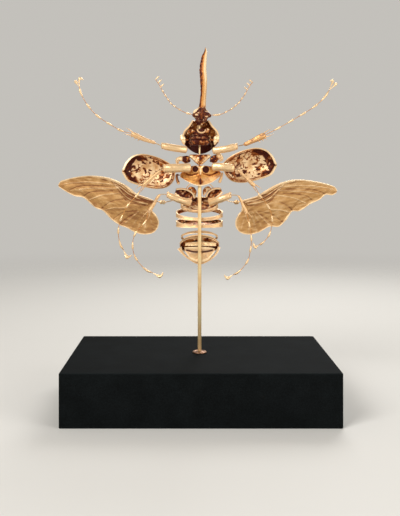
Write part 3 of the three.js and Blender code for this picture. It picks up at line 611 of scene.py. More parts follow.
def dress(node, slot, *skins):
    """One mesh of the skins, in metres, that stands for a node of the frame and takes a slot's finish."""
    starts = np.cumsum([0] + [len(s.points) for s in skins])
    points = np.vstack([s.points for s in skins]) * MM
    quads = np.vstack([s.quads + start for s, start in zip(skins, starts)])
    triangles = np.vstack([s.triangles + start for s, start in zip(skins, starts)])
    corners = np.concatenate([quads.ravel(), triangles.ravel()])
    loops = np.concatenate([4 * np.arange(len(quads)), 4 * len(quads) + 3 * np.arange(len(triangles))])
    mesh = bpy.data.meshes.new(f"{node}_dressed")
    mesh.vertices.add(len(points))
    mesh.vertices.foreach_set("co", points.astype(np.float32).ravel())
    mesh.loops.add(len(corners))
    mesh.loops.foreach_set("vertex_index", corners.astype(np.int32))
    mesh.polygons.add(len(loops))
    mesh.polygons.foreach_set("loop_start", loops.astype(np.int32))
    mesh.update(calc_edges=True)
    if mesh.validate():
        raise ValueError(f"{node} had broken faces")
    mesh.shade_smooth()
    mesh.set_sharp_from_angle(angle=SHARP)
    for name in ("patina", "shine"):
        values = np.concatenate([getattr(s, name) for s in skins])
        mesh.attributes.new(name, "FLOAT", "POINT").data.foreach_set("value", values.astype(np.float32))
    mesh.materials.append(finish(slot))
    piece = bpy.data.objects.new(f"{node}_dressed", mesh)
    bpy.context.scene.collection.objects.link(piece)
    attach(piece, "root")
    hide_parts(node)


# The mount

def rounded_slab(edge):
    """A box with softened edges and corners; its edges carry a painted highlight."""
    width, depth, height = SLAB
    corner, inset_ring, arcs = 0.8, 4.0, 7
    quarter = np.linspace(0, np.pi / 2, arcs)
    turn = np.concatenate([quarter + k * np.pi / 2 for k in range(4)])
    signs = np.repeat([(1, 1), (-1, 1), (-1, -1), (1, -1)], arcs, axis=0)
    low = [(edge * (1 - math.sin(a)), edge * (1 - math.cos(a))) for a in quarter]
    high = [(inset, height - z) for inset, z in reversed(low)]
    rows = [(inset_ring, 0.0)] + low + high + [(inset_ring, height)]
    rings = []
    for inset, z in rows:
        centre = signs * (np.array([width, depth]) / 2 - corner - inset)
        flat = centre + corner * np.stack([np.cos(turn), np.sin(turn)], axis=-1)
        rings.append(np.column_stack([flat, np.full(len(flat), z)]))
    # painted highlight: paler along each rounded edge, strongest halfway round it
    rubbed = np.sin(np.linspace(0, np.pi, arcs)) ** 0.5
    shine = np.concatenate([[0], rubbed, rubbed, [0]])[:, None]
    return ringed(np.stack(rings), shine=shine)


def rod_foot():
    """A small turned disc with a shallow groove."""
    r, z, top = FOOT_RADIUS, SLAB[2], SLAB[2] + FOOT_HEIGHT
    groove, depth = 3.2, 0.1
    return lathe([(r - 0.15, z), (r, z + 0.15), (r, top - 0.45), (r - 0.15, top - 0.2),
                  (r - 0.45, top - 0.04), (r - 0.9, top), (groove + 0.2, top), (groove + 0.1, top - depth),
                  (groove - 0.1, top - depth), (groove - 0.2, top), (2, top)], 64)


def support_rod():
    """The rod, its shoulder and the thin pin above it."""
    foot = SLAB[2] + FOOT_HEIGHT
    return lathe([(ROD_RADIUS - 0.15, foot), (ROD_RADIUS, foot + 0.15), (ROD_RADIUS, ROD_SHOULDER - 0.25),
                  (ROD_RADIUS - 0.1, ROD_SHOULDER), (PIN_RADIUS + 0.06, PIN_FROM),
                  (PIN_RADIUS, PIN_FROM + 0.3), (PIN_RADIUS, ROD_TOP - 0.4), (0.3, ROD_TOP)], 56)


# The head and its antennae

HEAD = [  # level sections from the mouth to the horn's tip: x, y, z, half width, half depth
    (0.6, 0, 196, 2.4, 2.2), (0.9, 0, 198, 3.6, 3), (1.2, 0, 200, 4.5, 3.7),
    (1.4, 0, 202, 6, 4.3), (1.5, 0, 203.4, 6.5, 4.5), (1.6, 0, 205.5, 4.7, 4),
    (1.8, 0, 207.8, 2.9, 3.2), (1.9, -0.3, 210, 2.3, 2.7), (2.6, -1.4, 219, 2, 2.3),
    (2.6, -2, 228, 2.4, 2.2), (2.1, -1.6, 234.5, 2.4, 2), (2.4, -0.8, 239.5, 2.2, 1.8),
    (3.2, 0.6, 245, 1.7, 1.4), (4.2, 2, 248.8, 0.9, 0.8), (4.3, 3, 251.5, 0.2, 0.2),
]
RIDGE_TURN = 5.75  # where the horn's bright ridge runs, at the front and to the right
EYES = [(-3.8, -2, 203), (6.8, -2, 202.6)]
EYE_RADII = (1.4, 1.4, 1.5)
BROW, BROW_RADII = (2.8, -2.6, 206.8), (1.7, 1, 1.7)
MOUTH_X = 1.2  # between the jaws
JAW = [(2.4, -2.6, 202), (3, -3.8, 199.6), (1.2, -4, 197.6)]  # out from the mouth's middle, to either side
CHIN = [(1.8, -3.4, 207), (1.6, -4.3, 203.4), (1.4, -4, 199.6)]
CHEEK = [(-0.8, -1.6, 207.6), (-3.2, -1.6, 205.4), (-4.7, -1.4, 203.4)]
TOOTH = [(-0.4, -0.6, 207), (-1.5, -0.8, 208.8)]


def head_relief(points, angle):
    z = points[..., 2]
    horn = smoothstep(206.5, 212, z)
    ridge = 0.3 * smoothstep(0.5, 1, np.cos(angle - RIDGE_TURN))
    pitted = smoothstep(0.3, -0.6, np.cos(angle - RIDGE_TURN)) * (rough(points, 1.3, 4) - 0.65) * 0.9
    lumps = uneven(points, 2.4, 1) * 1.7
    return (horn * (ridge + pitted) + (1 - horn) * lumps) * smoothstep(251.5, 247, z)


def head_flecks(points):
    return smoothstep(0.55, 0.67, rough(points, 1.3, 6))


def head_patina(points, angle):
    horn = smoothstep(206, 211, points[..., 2])
    blade = 0.25 * smoothstep(216, 232, points[..., 2])
    away = smoothstep(0.4 + blade, -0.1 + blade, np.cos(angle - RIDGE_TURN))
    front = smoothstep(0.2, 0.8, -np.sin(angle))
    streak = hump(points[..., 0], 1.8, 1.1) * front
    skull = 0.76 + 0.9 * uneven(points, 1.6, 2) - 0.15 * streak - 0.5 * head_flecks(points)
    return horn * away * (0.2 + 0.7 * rough(points, 1.4, 4)) + (1 - horn) * skull


def head_shine(points, angle):
    z = points[..., 2]
    horn = smoothstep(207, 211, z)
    # painted highlight: a pale line down both sides of the upper head
    painted_side_highlight = 0.9 * smoothstep(0.8, 1, np.abs(np.cos(angle))) * smoothstep(203, 205, z)
    flecks = 0.6 * head_flecks(points)
    ridge = smoothstep(0.6, 0.9, np.cos(angle - RIDGE_TURN)) * (0.45 + 0.4 * smoothstep(220, 232, z))
    return np.maximum(horn * ridge, (1 - horn) * np.maximum(painted_side_highlight, flecks))


def head_with_horn():
    """Skull and horn in one skin, with eyes, brow, mouthparts, a cheek with a painted highlight and a tooth
    below the horn.
    """
    skull = stack(HEAD, 60, 190, head_relief, head_patina, head_shine)
    eyes = [lump(eye, EYE_RADII, patina=0.6, shine=0.1, seed=k) for k, eye in enumerate(EYES)]
    brow = lump(BROW, BROW_RADII, size=1.4, height=0.6, patina=0.62, shine=0.1)
    jaws = [limb([(MOUTH_X + s * x, y, z) for x, y, z in JAW], [(0, 1), (0.5, 1.1, 0.9), (1, 0.4)],
                 patina=0.62, shine=0.1) for s in (-1, 1)]
    chin = limb(CHIN, [(0, 0.5), (0.4, 1.2, 0.6), (1, 0.8, 0.5)], patina=0.55)
    tooth = spike(*TOOTH, 0.6)
    # painted highlight: the cheek is a thin pale line along the head's upper left edge
    cheek = limb(CHEEK, [(0, 0.5), (0.5, 1.2, 1), (1, 0.5)], shine=0.8)
    return skull, *eyes, brow, *jaws, chin, tooth, cheek


ANTENNAE = {
    "left": {
        "scape": [(-5.1, 203.5), (-9.6, 204.6)],
        "beads": [(-14.1, 206.9), (-17.8, 209.3), (-20.2, 211.3), (-22.2, 214), (-24.1, 216.7), (-26, 219.8)],
        "club": [(-27.7, 222.8), (-29.4, 225.8), (-31.1, 228.3)],
        "leaf": (2.5, 2.3),
    },
    "right": {
        "scape": [(8.1, 203), (14.6, 203.5)],
        "beads": [(18.5, 205.2), (22.7, 207.5), (25.3, 209.6), (27.7, 211.8), (29.9, 214.7), (32.1, 217.9)],
        "club": [(33.8, 221.1), (35.5, 223.9), (37.4, 226.2)],
        "leaf": (-2.3, 1.9),
    },
}


def antenna(scape, beads, club, leaf):
    """A scape, six beads on a thread and a club of three flat leaves."""
    path = np.array(at_depth(scape + beads + club, ANTENNA_Y), float)
    share = shares(path)
    bumps = [(share[1] * 0.6, share[1] * 0.42, 0.8)]
    bumps += [(share[i + 2], 0.024, 0.7) for i in range(len(beads))]
    thread = beaded(path, bumps, TARSUS_THREAD)
    reach = np.array([leaf[0], 0, leaf[1]])
    leaves = [limb([p - 0.15 * reach, p + 0.5 * reach + (0, 0.2, 0), p + reach],
                   [(0, 0.2), (0.2, 0.3), (0.6, 0.5, 0.3), (1, 0.2)], sides=20, rings=30, patina=0.15,
                   shine=0.6)
              for p in path[-3:]]
    return thread, *leaves


# The thorax

BELL_WIDTH = [(5.6, 0), (8, 0.25), (11.5, 0.6), (12.7, 0.85), (12.4, 1)]  # half width down the bell
BELL_TOP, BELL_SIDES, BELL_BACK = 199.4, 184, 176
BELL_Y, BELL_DEPTH = 0.5, 0.85  # where its open side is, and its depth for each half width
BELL_WIRE = [(BODY_X, 10.6, 189), (BODY_X, 4.6, 186)]


def pronotum():
    """Half a bell open to the front: mottled brown inside with painted shade at its foot, gilded outside,
    pale hems.
    """
    u, v = sheet(*GRIDS["bell"])
    half = curve(BELL_WIDTH, v)[..., 0]
    angle = (u - 0.5) * np.pi
    hem = BELL_SIDES + (BELL_BACK - BELL_SIDES) * np.cos(angle) ** 2
    grid = np.stack([BODY_X + half * np.sin(angle), BELL_Y + BELL_DEPTH * half * np.cos(angle),
                     BELL_TOP + (hem - BELL_TOP) * v], axis=-1)
    side = np.minimum(u, 1 - u)
    lip = np.maximum(1 - smoothstep(0.004, 0.012, side), 1 - smoothstep(0.008, 0.02, v))
    flecks = smoothstep(0.42, 0.62, rough(grid, 2, 3)) * smoothstep(0.85, 0.6, v)
    pillars = hump(np.abs(grid[..., 0] - BODY_X), 8, 1.2)
    # painted shade: the inside darkens towards the bell's foot, less where the two pillars stand
    painted_foot_shade = smoothstep(0.6, 0.8, v) * (1 - 0.5 * pillars)
    specks = smoothstep(0.54, 0.64, rough(grid, 2.2, 12)) * (1 - painted_foot_shade)
    inside = clamp(0.5 - 0.3 * flecks - 0.3 * specks + 0.5 * painted_foot_shade) * (1 - lip)
    outside = clamp(0.1 + 0.5 * (rough(grid, 5, 8) - 0.4)) * (1 - lip)
    pits = smoothstep(0.6, 0.8, grain(grid, 0.9, 5))
    bell = plate(grid, WALL, relief=(0.2 * lip + 0.7 * uneven(grid, 2.2, 6) * (1 - lip),
                                     0.1 * lip - 0.16 * pits * (1 - lip)),
                 patina=(inside, outside), shine=(np.maximum(0.6 * lip, 0.65 * specks), 0.25 + 0.4 * lip))
    return bell, wire(BELL_WIRE)


BLOCK = [(-0.3, 0, 181.8, 6.2, 3.4), (-0.3, -0.4, 183.5, 7.2, 4.4), (-0.3, -0.4, 187, 7.2, 4.6),
         (0, 0, 189.5, 5.6, 4), (0.4, 0.6, 192.5, 3.4, 2.6)]
BLOCK_GROOVES = (185.4, 188.3)  # heights of the two grooves across it
NECK, NECK_RADII = (1.3, -2.4, 192.2), (2.1, 1.2, 1.5)
COLLAR = [(-1.7, -2.9, 193), (-0.9, -3.6, 191.2), (1.3, -4, 190.4), (3.5, -3.6, 191.2), (4.3, -2.9, 193)]
PADS = [[(-8.6, -2, 189.6), (-6.2, -2.6, 191.4), (-2.6, -3, 190.3)],
        [(7.8, -2, 189.9), (5.4, -2.6, 191.9), (3.2, -3, 190.5)]]


def prosternum():
    """The sculpted block inside the bell, with a pale collar round the dark neck and a pad on each side."""
    low, high = BLOCK_GROOVES

    def flecks(points):
        return smoothstep(0.56, 0.7, rough(points, 1.1, 7))

    def relief(points, angle):
        z = points[..., 2]
        grooves = 0.9 * hump(z, low, 0.45) + 0.8 * hump(z, high, 0.4) + 0.5 * hump(points[..., 0], 0.6, 0.5)
        return uneven(points, 1.7, 5) * 1.5 - grooves

    def patina(points, angle):
        z = points[..., 2]
        groove = hump(z, low, 0.6) + hump(z, high, 0.5)
        mottle = rough(points, 1.5, 6) - 0.45
        return clamp(0.58 + 0.9 * mottle + 0.4 * groove - 0.2 * flecks(points))

    def shine(points, angle):
        return 0.22 * flecks(points)

    def pad_relief(points, angle, t):
        return 1.3 * uneven(points, 1.4, 5)

    def pad_patina(points, angle, t):
        return 2.4 * clamp(rough(points, 1.5, 4) - 0.46)

    def pad_shine(points, angle, t):
        return 0.7 * smoothstep(0.56, 0.44, rough(points, 1.5, 4))

    block = stack(BLOCK, 80, 64, relief, patina, shine)
    neck = lump(NECK, NECK_RADII, patina=0.9)
    collar = limb(COLLAR, [(0, 0.4), (0.5, 0.65), (1, 0.4)], patina=0.2, shine=0.45)
    pads = [limb(path, [(0, 0.4), (0.45, 1.5, 1), (0.8, 1.1, 0.9), (1, 0.4)], sides=32, relief=pad_relief,
                 patina=pad_patina, shine=pad_shine) for path in PADS]
    return block, neck, collar, *pads


FORE_COXAE = {
    "left": {"kite": [(-13.2, 188.9), (-11.6, 185.6), (-10.9, 181.8)], "neck": (-7.8, -0.8, 185.6)},
    "right": {"kite": [(13.1, 188.7), (11.4, 185.4), (10.5, 181.8)], "neck": (7.2, -0.8, 185.6)},
}
KITE_Y, KITE_CREASE = -3.5, 0.56  # its depth, and where the crease is along it


def fore_coxa(kite, neck):
    """A smooth pale kite with a crease across it, on a short stalk from the block."""
    def relief(points, angle, t):
        return 0.6 * uneven(points, 2, 4) - 0.4 * hump(t, KITE_CREASE, 0.05)

    def patina(points, angle, t):
        # painted shade: darker towards the kite's two side edges
        return 0.5 * hump(t, KITE_CREASE, 0.06) + 0.25 * smoothstep(0.7, 1, np.abs(np.cos(angle)))

    path = at_depth(kite, KITE_Y)
    lobe = limb(path, [(0, 0.5), (0.2, 1.6, 1), (0.42, 2, 1.4), (0.7, 1.4, 1.3), (1, 0.5)], sides=40,
                relief=relief, patina=patina, shine=0.75)
    return lobe, limb([neck, path[1]], [(0, 0.5), (1, 0.9)], sides=20, rings=30, patina=0.7, shine=0.1)


KEEL = [(0.3, -1, 168, 1.4, 2.4), (0.3, -1, 170, 3.8, 3.2), (0.3, -0.8, 172.4, 6.4, 3.6),
        (0.3, -0.6, 174, 7.8, 3.6), (0.3, -0.4, 175.2, 7, 3)]
VEE_X, VEE_FOOT, VEE_SLOPE = 0.3, 168.8, 1.1  # the foot of the V on its front, and how far it opens


def mesosternum():
    """A keel whose front carries a gold V, a mottled bowl inside it and a pale petal outside each arm."""
    def outside_vee(points):
        return np.abs(points[..., 0] - VEE_X) - VEE_SLOPE * (points[..., 2] - VEE_FOOT)

    def relief(points, angle):
        out = outside_vee(points)
        arm, petal = hump(out, -0.8, 0.7), hump(out, 1.3, 0.9)
        return 0.5 * arm + 0.4 * petal - 0.4 * hump(out, 0.2, 0.4) + 1.5 * uneven(points, 1.8, 9)

    def patina(points, angle):
        out = outside_vee(points)
        bowl, rest = smoothstep(-1.6, -2.6, out), smoothstep(2.4, 3.2, out)
        seam = hump(out, 0.2, 0.35)
        mottle = uneven(points, 1.5, 3)
        return clamp(0.08 + most(0.3 * bowl, 0.6 * rest, 0.4 * seam) + 1.7 * mottle)

    def shine(points, angle):
        out = outside_vee(points)
        petal = 0.85 * hump(out, 0.9, 1.5) * smoothstep(168, 172, points[..., 2])
        return np.maximum(petal, 0.65 * smoothstep(0.52, 0.62, rough(points, 1.7, 5)))

    return stack(KEEL, 96, 70, relief, patina, shine)


MID_COXAE = {
    "left": [(-6.6, 170.2), (-9.4, 171.6), (-12.4, 172.2), (-14.9, 172), (-15.9, 170.4), (-14.8, 169)],
    "right": [(7.2, 170.2), (10.2, 172), (12, 173.4), (13.9, 174.4), (15.5, 172.6), (14.4, 170.2)],
}
MID_COXA_Y = -0.6
HOOK_FROM, HOOK_FULL = 0.42, 0.56  # where along it the dark arm turns into the pale hook


def mid_coxa(path):
    """A broad dark arm with a gold upper edge and gold veins, that ends in a pale hook."""
    def relief(points, angle, t):
        return 0.9 * uneven(points, 1.5, 2) + 0.3 * creases(points, 2.4, 0.1, 4)

    def patina(points, angle, t):
        arm = smoothstep(HOOK_FULL, HOOK_FROM, t)
        top = smoothstep(0.75, 0.95, np.cos(angle) * np.sign(path[0][0]))
        leaf = np.maximum(top, creases(points, 2.4, 0.08, 4))
        return arm * clamp(0.8 + 0.8 * uneven(points, 1.3, 6) - 0.7 * leaf)

    def shine(points, angle, t):
        return 0.95 * smoothstep(HOOK_FROM, HOOK_FULL, t) + 0 * angle

    stations = [(0, 0.7), (0.2, 2.8, 1.1), (0.42, 2, 1.4), (0.62, 1.5, 1.7), (0.85, 1.3), (1, 0.4)]
    return limb(at_depth(path, MID_COXA_Y), stations, sides=48, rings=90, relief=relief, patina=patina,
                shine=shine)


BOAT_UPPER = [(-13.3, 161.4), (-9.5, 165.4), (-4, 167.3), (0.4, 167.3), (5, 167.2), (10.4, 165.6),
              (14.6, 162.8)]
BOAT_LOWER = [(-13.3, 159.4), (-7.7, 155.8), (-3.3, 153.7), (0.2, 153), (3.8, 153.7), (9, 156), (14.6, 160.4)]
BOAT_THICK, BOAT_BOW = 1.6, 0.024
SOCKETS = [(-3, 164.9, 1.9), (4.3, 164.5, 2.2)]  # x, z and radius
SEPTUM = [[(-1.6, 167), (0.6, 164.8), (0.6, 161.4)], [(2.6, 167), (0.6, 164.8), (0.6, 161.4)]]


def metasternum():
    """A boat-shaped plate with two dark sockets, a pale septum between them and a bright lower rim."""
    back = -ROD_RADIUS - GAP - BOAT_THICK / 2
    u, v, grid = between(at_depth(BOAT_UPPER, 0), at_depth(BOAT_LOWER, 0), GRIDS["boat"],
                         lambda u, v, g: back + BOAT_BOW * g[..., 0] ** 2)
    flat = grid[..., [0, 2]]
    pit, ring = np.zeros_like(u), np.zeros_like(u)
    for x, z, radius in SOCKETS:
        share = np.linalg.norm(flat - (x, z), axis=-1) / radius
        pit = np.maximum(pit, 1 - smoothstep(0.9, 1.1, share))
        ring = np.maximum(ring, hump(share, 1.25, 0.12))
    septum = np.maximum(*(hump(near(flat, line), 0, 0.45) for line in SEPTUM))
    keel = hump(grid[..., 0], 0.5, 0.45) * smoothstep(0.35, 0.6, v)
    shelf = np.minimum(near(flat, [(-11, 162.4), (-6, 160.6), (-1.5, 161.6)]),
                       near(flat, [(12, 162.6), (7, 160.6), (2.6, 161.6)]))
    seam = hump(shelf, 0, 0.5)
    rim = 1 - smoothstep(0.03, 0.08, 1 - v)
    diamond = smoothstep(2.6, 1.4, np.abs(grid[..., 0] - 0.4) + 0.8 * np.abs(grid[..., 2] - 156))
    mottle = uneven(grid, 2.6, 5)
    relief = (0.2 * ring + 0.4 * septum + 0.5 * rim - 0.45 * seam - 0.35 * keel + 0.7 * mottle) * (1 - pit)
    relief = relief - (BOAT_THICK - 0.3) * pit
    left = smoothstep(4, -6, grid[..., 0])
    patina = clamp(0.02 + 0.1 * left + 0.5 * seam + 0.24 * diamond + 0.22 * keel + 1.1 * mottle
                   + 0.5 * smoothstep(0.1, 0, v))
    patina = np.maximum(patina * (1 - np.maximum(0.4 * ring, rim)), pit)
    sheen = 0.3 * (1 - left) * smoothstep(0.5, 0.7, v) * (1 - diamond)
    shine = most(0.3 * ring, 0.9 * septum, rim, sheen)
    return plate(grid, BOAT_THICK, relief=(relief, 0.3 * mottle), patina=(patina, 0.5 + mottle),
                 shine=(shine * (1 - pit), 0.1))


SIDE_PLATES = {  # the path, and how bare of leaf the strip is
    "left": ([(-13.9, 160.6), (-16, 160.8), (-15.9, 157.6), (-14.6, 154)], 0.55),
    "right": ([(15.3, 161.6), (16.2, 162.2), (15.4, 158.8), (14, 155)], 0.2),
}
SIDE_PLATE_Y = 2.8


def side_plate(path, bare):
    """A strip, more or less bare, with a streak of leaf and a pale pad at its foot."""
    def relief(points, angle, t):
        return 0.35 * uneven(points, 1.3, 3)

    def patina(points, angle, t):
        streak = hump(np.cos(angle), 0.2, 0.35) * smoothstep(0.2, 0.5, t)
        return bare - 0.5 * streak - 0.5 * smoothstep(0.8, 0.9, t)

    def shine(points, angle, t):
        return np.maximum(0.7 * smoothstep(0.8, 0.92, t), 0.7 - bare) + 0 * angle

    stations = [(0, 0.4), (0.25, 0.8, 0.6), (0.6, 1, 0.6), (0.9, 1.1, 0.8), (1, 0.5)]
    return limb(at_depth(path, SIDE_PLATE_Y), stations, sides=32, relief=relief, patina=patina, shine=shine)


HIND_COXAE = {
    "left": {"path": [(-17, 149.2), (-12, 147.6), (-7.4, 145.6), (-4.4, 143.2)], "radius": 3.2, "bare": 0.56,
             "strut": [(-6.9, -0.6, 154.6), (-8.6, 2, 152.6), (-10, 6, 150)],
             "lobe": [(-8.8, 3.4, 149.6), (-5.8, 2.8, 151.2), (-3.4, 2.7, 148.8), (-2.9, 2.7, 145.8)]},
    "right": {"path": [(15.6, 149.8), (11.6, 148.2), (8.4, 146.4), (5.6, 144)], "radius": 2.8, "bare": 0.36,
              "strut": [(7.2, -0.6, 154.4), (9, 2, 152.6), (10.4, 6, 150.2)],
              "lobe": [(8.8, 3.4, 150), (6, 2.8, 151.2), (3.6, 2.7, 148.8), (3.1, 2.7, 146)]},
}
HIND_COXA_Y = 3


def hind_coxa(path, radius, bare, strut, lobe):
    """A mottled brown trough open to the front with pale rims, a lobe beside the rod, and a strut."""
    u, v = sheet(*GRIDS["trough"])
    line = at_depth(path, HIND_COXA_Y)
    along = unit(curve(line, np.minimum(u + 1e-3, 1)) - curve(line, np.maximum(u - 1e-3, 0)))
    across = unit(np.cross(along, FRONT))
    angle = (-0.15 + 1.3 * v) * np.pi
    r = 0.8 + radius * np.sin(np.pi * (0.04 + 0.92 * u)) ** 0.7
    grid = curve(line, u) + across * (r * np.cos(angle))[..., None]
    grid[..., 1] += 0.8 * r * np.sin(angle)
    lip = 1 - smoothstep(0.015, 0.04, np.minimum(v, 1 - v))
    mottle = uneven(grid, 1.7, 4)
    trough = plate(grid, WALL, relief=(0.3 * lip + 0.6 * mottle * (1 - lip), 0.3 * lip + 0.25 * mottle),
                   patina=(clamp(bare + 2 * mottle) * (1 - 0.8 * lip), clamp(0.5 + mottle)),
                   shine=(np.maximum(lip, 0.5 * smoothstep(-0.06, -0.16, mottle)), 0.4 * lip))

    def relief(points, angle, t):
        return 0.9 * uneven(points, 1.5, 7)

    def patina(points, angle, t):
        return clamp(0.35 + 1.3 * uneven(points, 1.4, 8))

    def shine(points, angle, t):
        return 0.7 * smoothstep(0.5, 0.62, rough(points, 1.6, 9))

    inner = limb(lobe, [(0, 0.8), (0.35, 1.6, 1), (0.7, 1.4, 1), (1, 0.5)], sides=36, relief=relief,
                 patina=patina, shine=shine)
    return trough, inner, wire(strut, shine=0.7)


# The abdomen

RINGS = [  # height of the front, half width, half depth, band's height, flare, tilt, and if it has a floor
    (134.8, 13, 8, 1.6, 1, -0.62, True),
    (129.2, 16.4, 8.5, 2.3, 0.4, -0.42, False),
    (124.2, 16.4, 8.5, 2, 1, -0.2, True),
    (120.4, 12.7, 8, 1.4, 0, 0.55, False),
    (117.4, 13.6, 8, 1.6, 0, 0.95, True),
]


def banded(grid, v, hoop, seed, crease=0.0):
    """A band of cuticle: bright rolled hems, a gilded outside, creased or not, and a mottled inside."""
    hem = np.maximum(1 - smoothstep(0.06, 0.2, v), 1 - smoothstep(0.06, 0.2, 1 - v))
    mottle = uneven(grid, 2.4, seed)
    outside = clamp(0.12 + 1.1 * mottle + crease) * (1 - hem)
    flecks = smoothstep(0.5, 0.62, rough(grid, 2.2, seed + 9))
    inside = clamp(0.4 + 1.4 * mottle - 0.5 * flecks) * (1 - hem)
    relief = (0.18 * hem + 0.5 * mottle * (1 - hem) - 0.4 * crease, 0.1 * hem + 0.3 * mottle)
    shine = ((0.5 + 0.5 * hem) * (1 - crease), 0.6 * np.maximum(hem, flecks))
    return plate(grid, WALL, relief, (outside, inside), shine, hoop)


def ring_floor(points, seed):
    """A ring's floor: red-brown and mottled, with flecks of leaf."""
    mottle = uneven(points, 2.2, seed)
    flecks = smoothstep(0.54, 0.68, rough(points, 2.6, seed + 3))
    patina = clamp(0.42 + 1.3 * mottle) * (1 - 0.8 * flecks)
    return plate(points, WALL, (0.7 * mottle, 0.2 * mottle), (patina, patina), (0.6 * flecks, 0.1))


def abdomen_ring(front, half_width, half_depth, height, flare, tilt, floor, seed):
    """A whole hoop behind the rod, tilted about its front, with or without flared sides and a floor."""
    def tilted(angle, turn, rise):
        reach = half_depth * (1 - turn)
        return np.stack([half_width * np.sin(angle),
                         reach * math.cos(tilt) - rise * math.sin(tilt) * turn,
                         front - reach * math.sin(tilt) + rise * math.cos(tilt / 2)], axis=-1)

    def half_height(angle):
        return 0.5 * height * (1 + flare * np.sin(angle) ** 2)

    sides, rows = GRIDS["hoop"]
    angle, v = np.meshgrid(around(sides), np.linspace(0, 1, rows), indexing="ij")
    grid = tilted(angle, np.cos(angle), (1 - 2 * v) * half_height(angle))
    back = ROD_RADIUS + GAP + WALL / 2 - grid[..., 1].min()
    grid[..., 1] += back
    band = banded(grid, v, True, seed)
    if not floor:
        return (band,)
    u, v = sheet(*GRIDS["floor"])
    angle = (u - 0.5) * np.pi
    grid = tilted(angle, (1 - 2 * v) * np.cos(angle), WALL / 2 - half_height(angle))
    grid[..., 1] += back
    return band, ring_floor(grid, seed)


BAND_Y = ROD_RADIUS + GAP + WALL / 2
BANDS = {  # upper edge, lower edge, depth, bow and crease of the pieces that are open behind
    "abdomen_ring_6": ([(-9.8, 112.4), (0, 113.4), (11.6, 112.4)], [(-10, 110.6), (0, 110.6), (11.6, 110.2)],
                       BAND_Y, 0.02, None),
    "last_sternite": ([(-10.6, 109.2), (-5, 109.7), (0, 109.8), (5, 109.6), (10.6, 108.6)],
                      [(-10.4, 106.8), (-5.6, 100.6), (0, 99), (6, 100.6), (10.6, 106.6)], BAND_Y, 0.012,
                      [(-9, 107.2), (-4.5, 106.3), (0, 106), (4.5, 106.3), (9, 107.2)]),
    "tail_plate": ([(-13, 109.6), (-11.6, 106.2), (-8, 102.4), (0, 98.6), (8, 102), (11.8, 106),
                    (13.2, 109.8)],
                   [(-15.6, 107.8), (-12.8, 104.8), (-8, 100.9), (0, 97.2), (8, 100.4), (12.6, 104.8),
                    (14.8, 109)], BAND_Y + WALL + GAP, 0.012, None),
}


def open_band(upper, lower, y, bow, crease, seed):
    """A bowed plate between two edges, with or without a dark crease across it."""
    _, v, grid = between(at_depth(upper, y), at_depth(lower, y), GRIDS["band"],
                         lambda u, v, g: bow * g[..., 0] ** 2)
    line = 0.0 if crease is None else hump(near(grid[..., [0, 2]], crease), 0, 0.6)
    return banded(grid, v, False, seed, line)


# The elytra

ELYTRON_UPPER = [(17.6, 165), (21, 168.4), (28, 172.4), (35.5, 174.8), (42, 175.6), (48, 174), (52.4, 169.6),
                 (54.8, 164.4)]
ELYTRON_LOWER = [(17.6, 163), (18.6, 157.4), (23, 152.6), (29.5, 151.2), (37, 152), (45, 154.2), (51.4, 157),
                 (54.9, 162.6)]
ELYTRON_DEPTH = 8
ELYTRON_LIFT = {"left": 0, "right": 4.4}
ELYTRON_CREASES = [  # the main folds of the crumpled lining
    [(50, 163.6), (43, 164.4), (36, 164.2), (30, 163)],
    [(30, 163), (27, 166.5), (23, 167)],
    [(33, 171), (30, 168.5), (30.5, 165.5), (27, 163.5)],
    [(40, 157), (35, 158.6), (30, 161.6)],
    [(29, 160.6), (24, 159), (21, 160.4)],
    [(28, 156), (24.5, 157), (23.4, 154.6)],
    [(43.5, 168.6), (41, 169.6), (38, 168.8)],
]


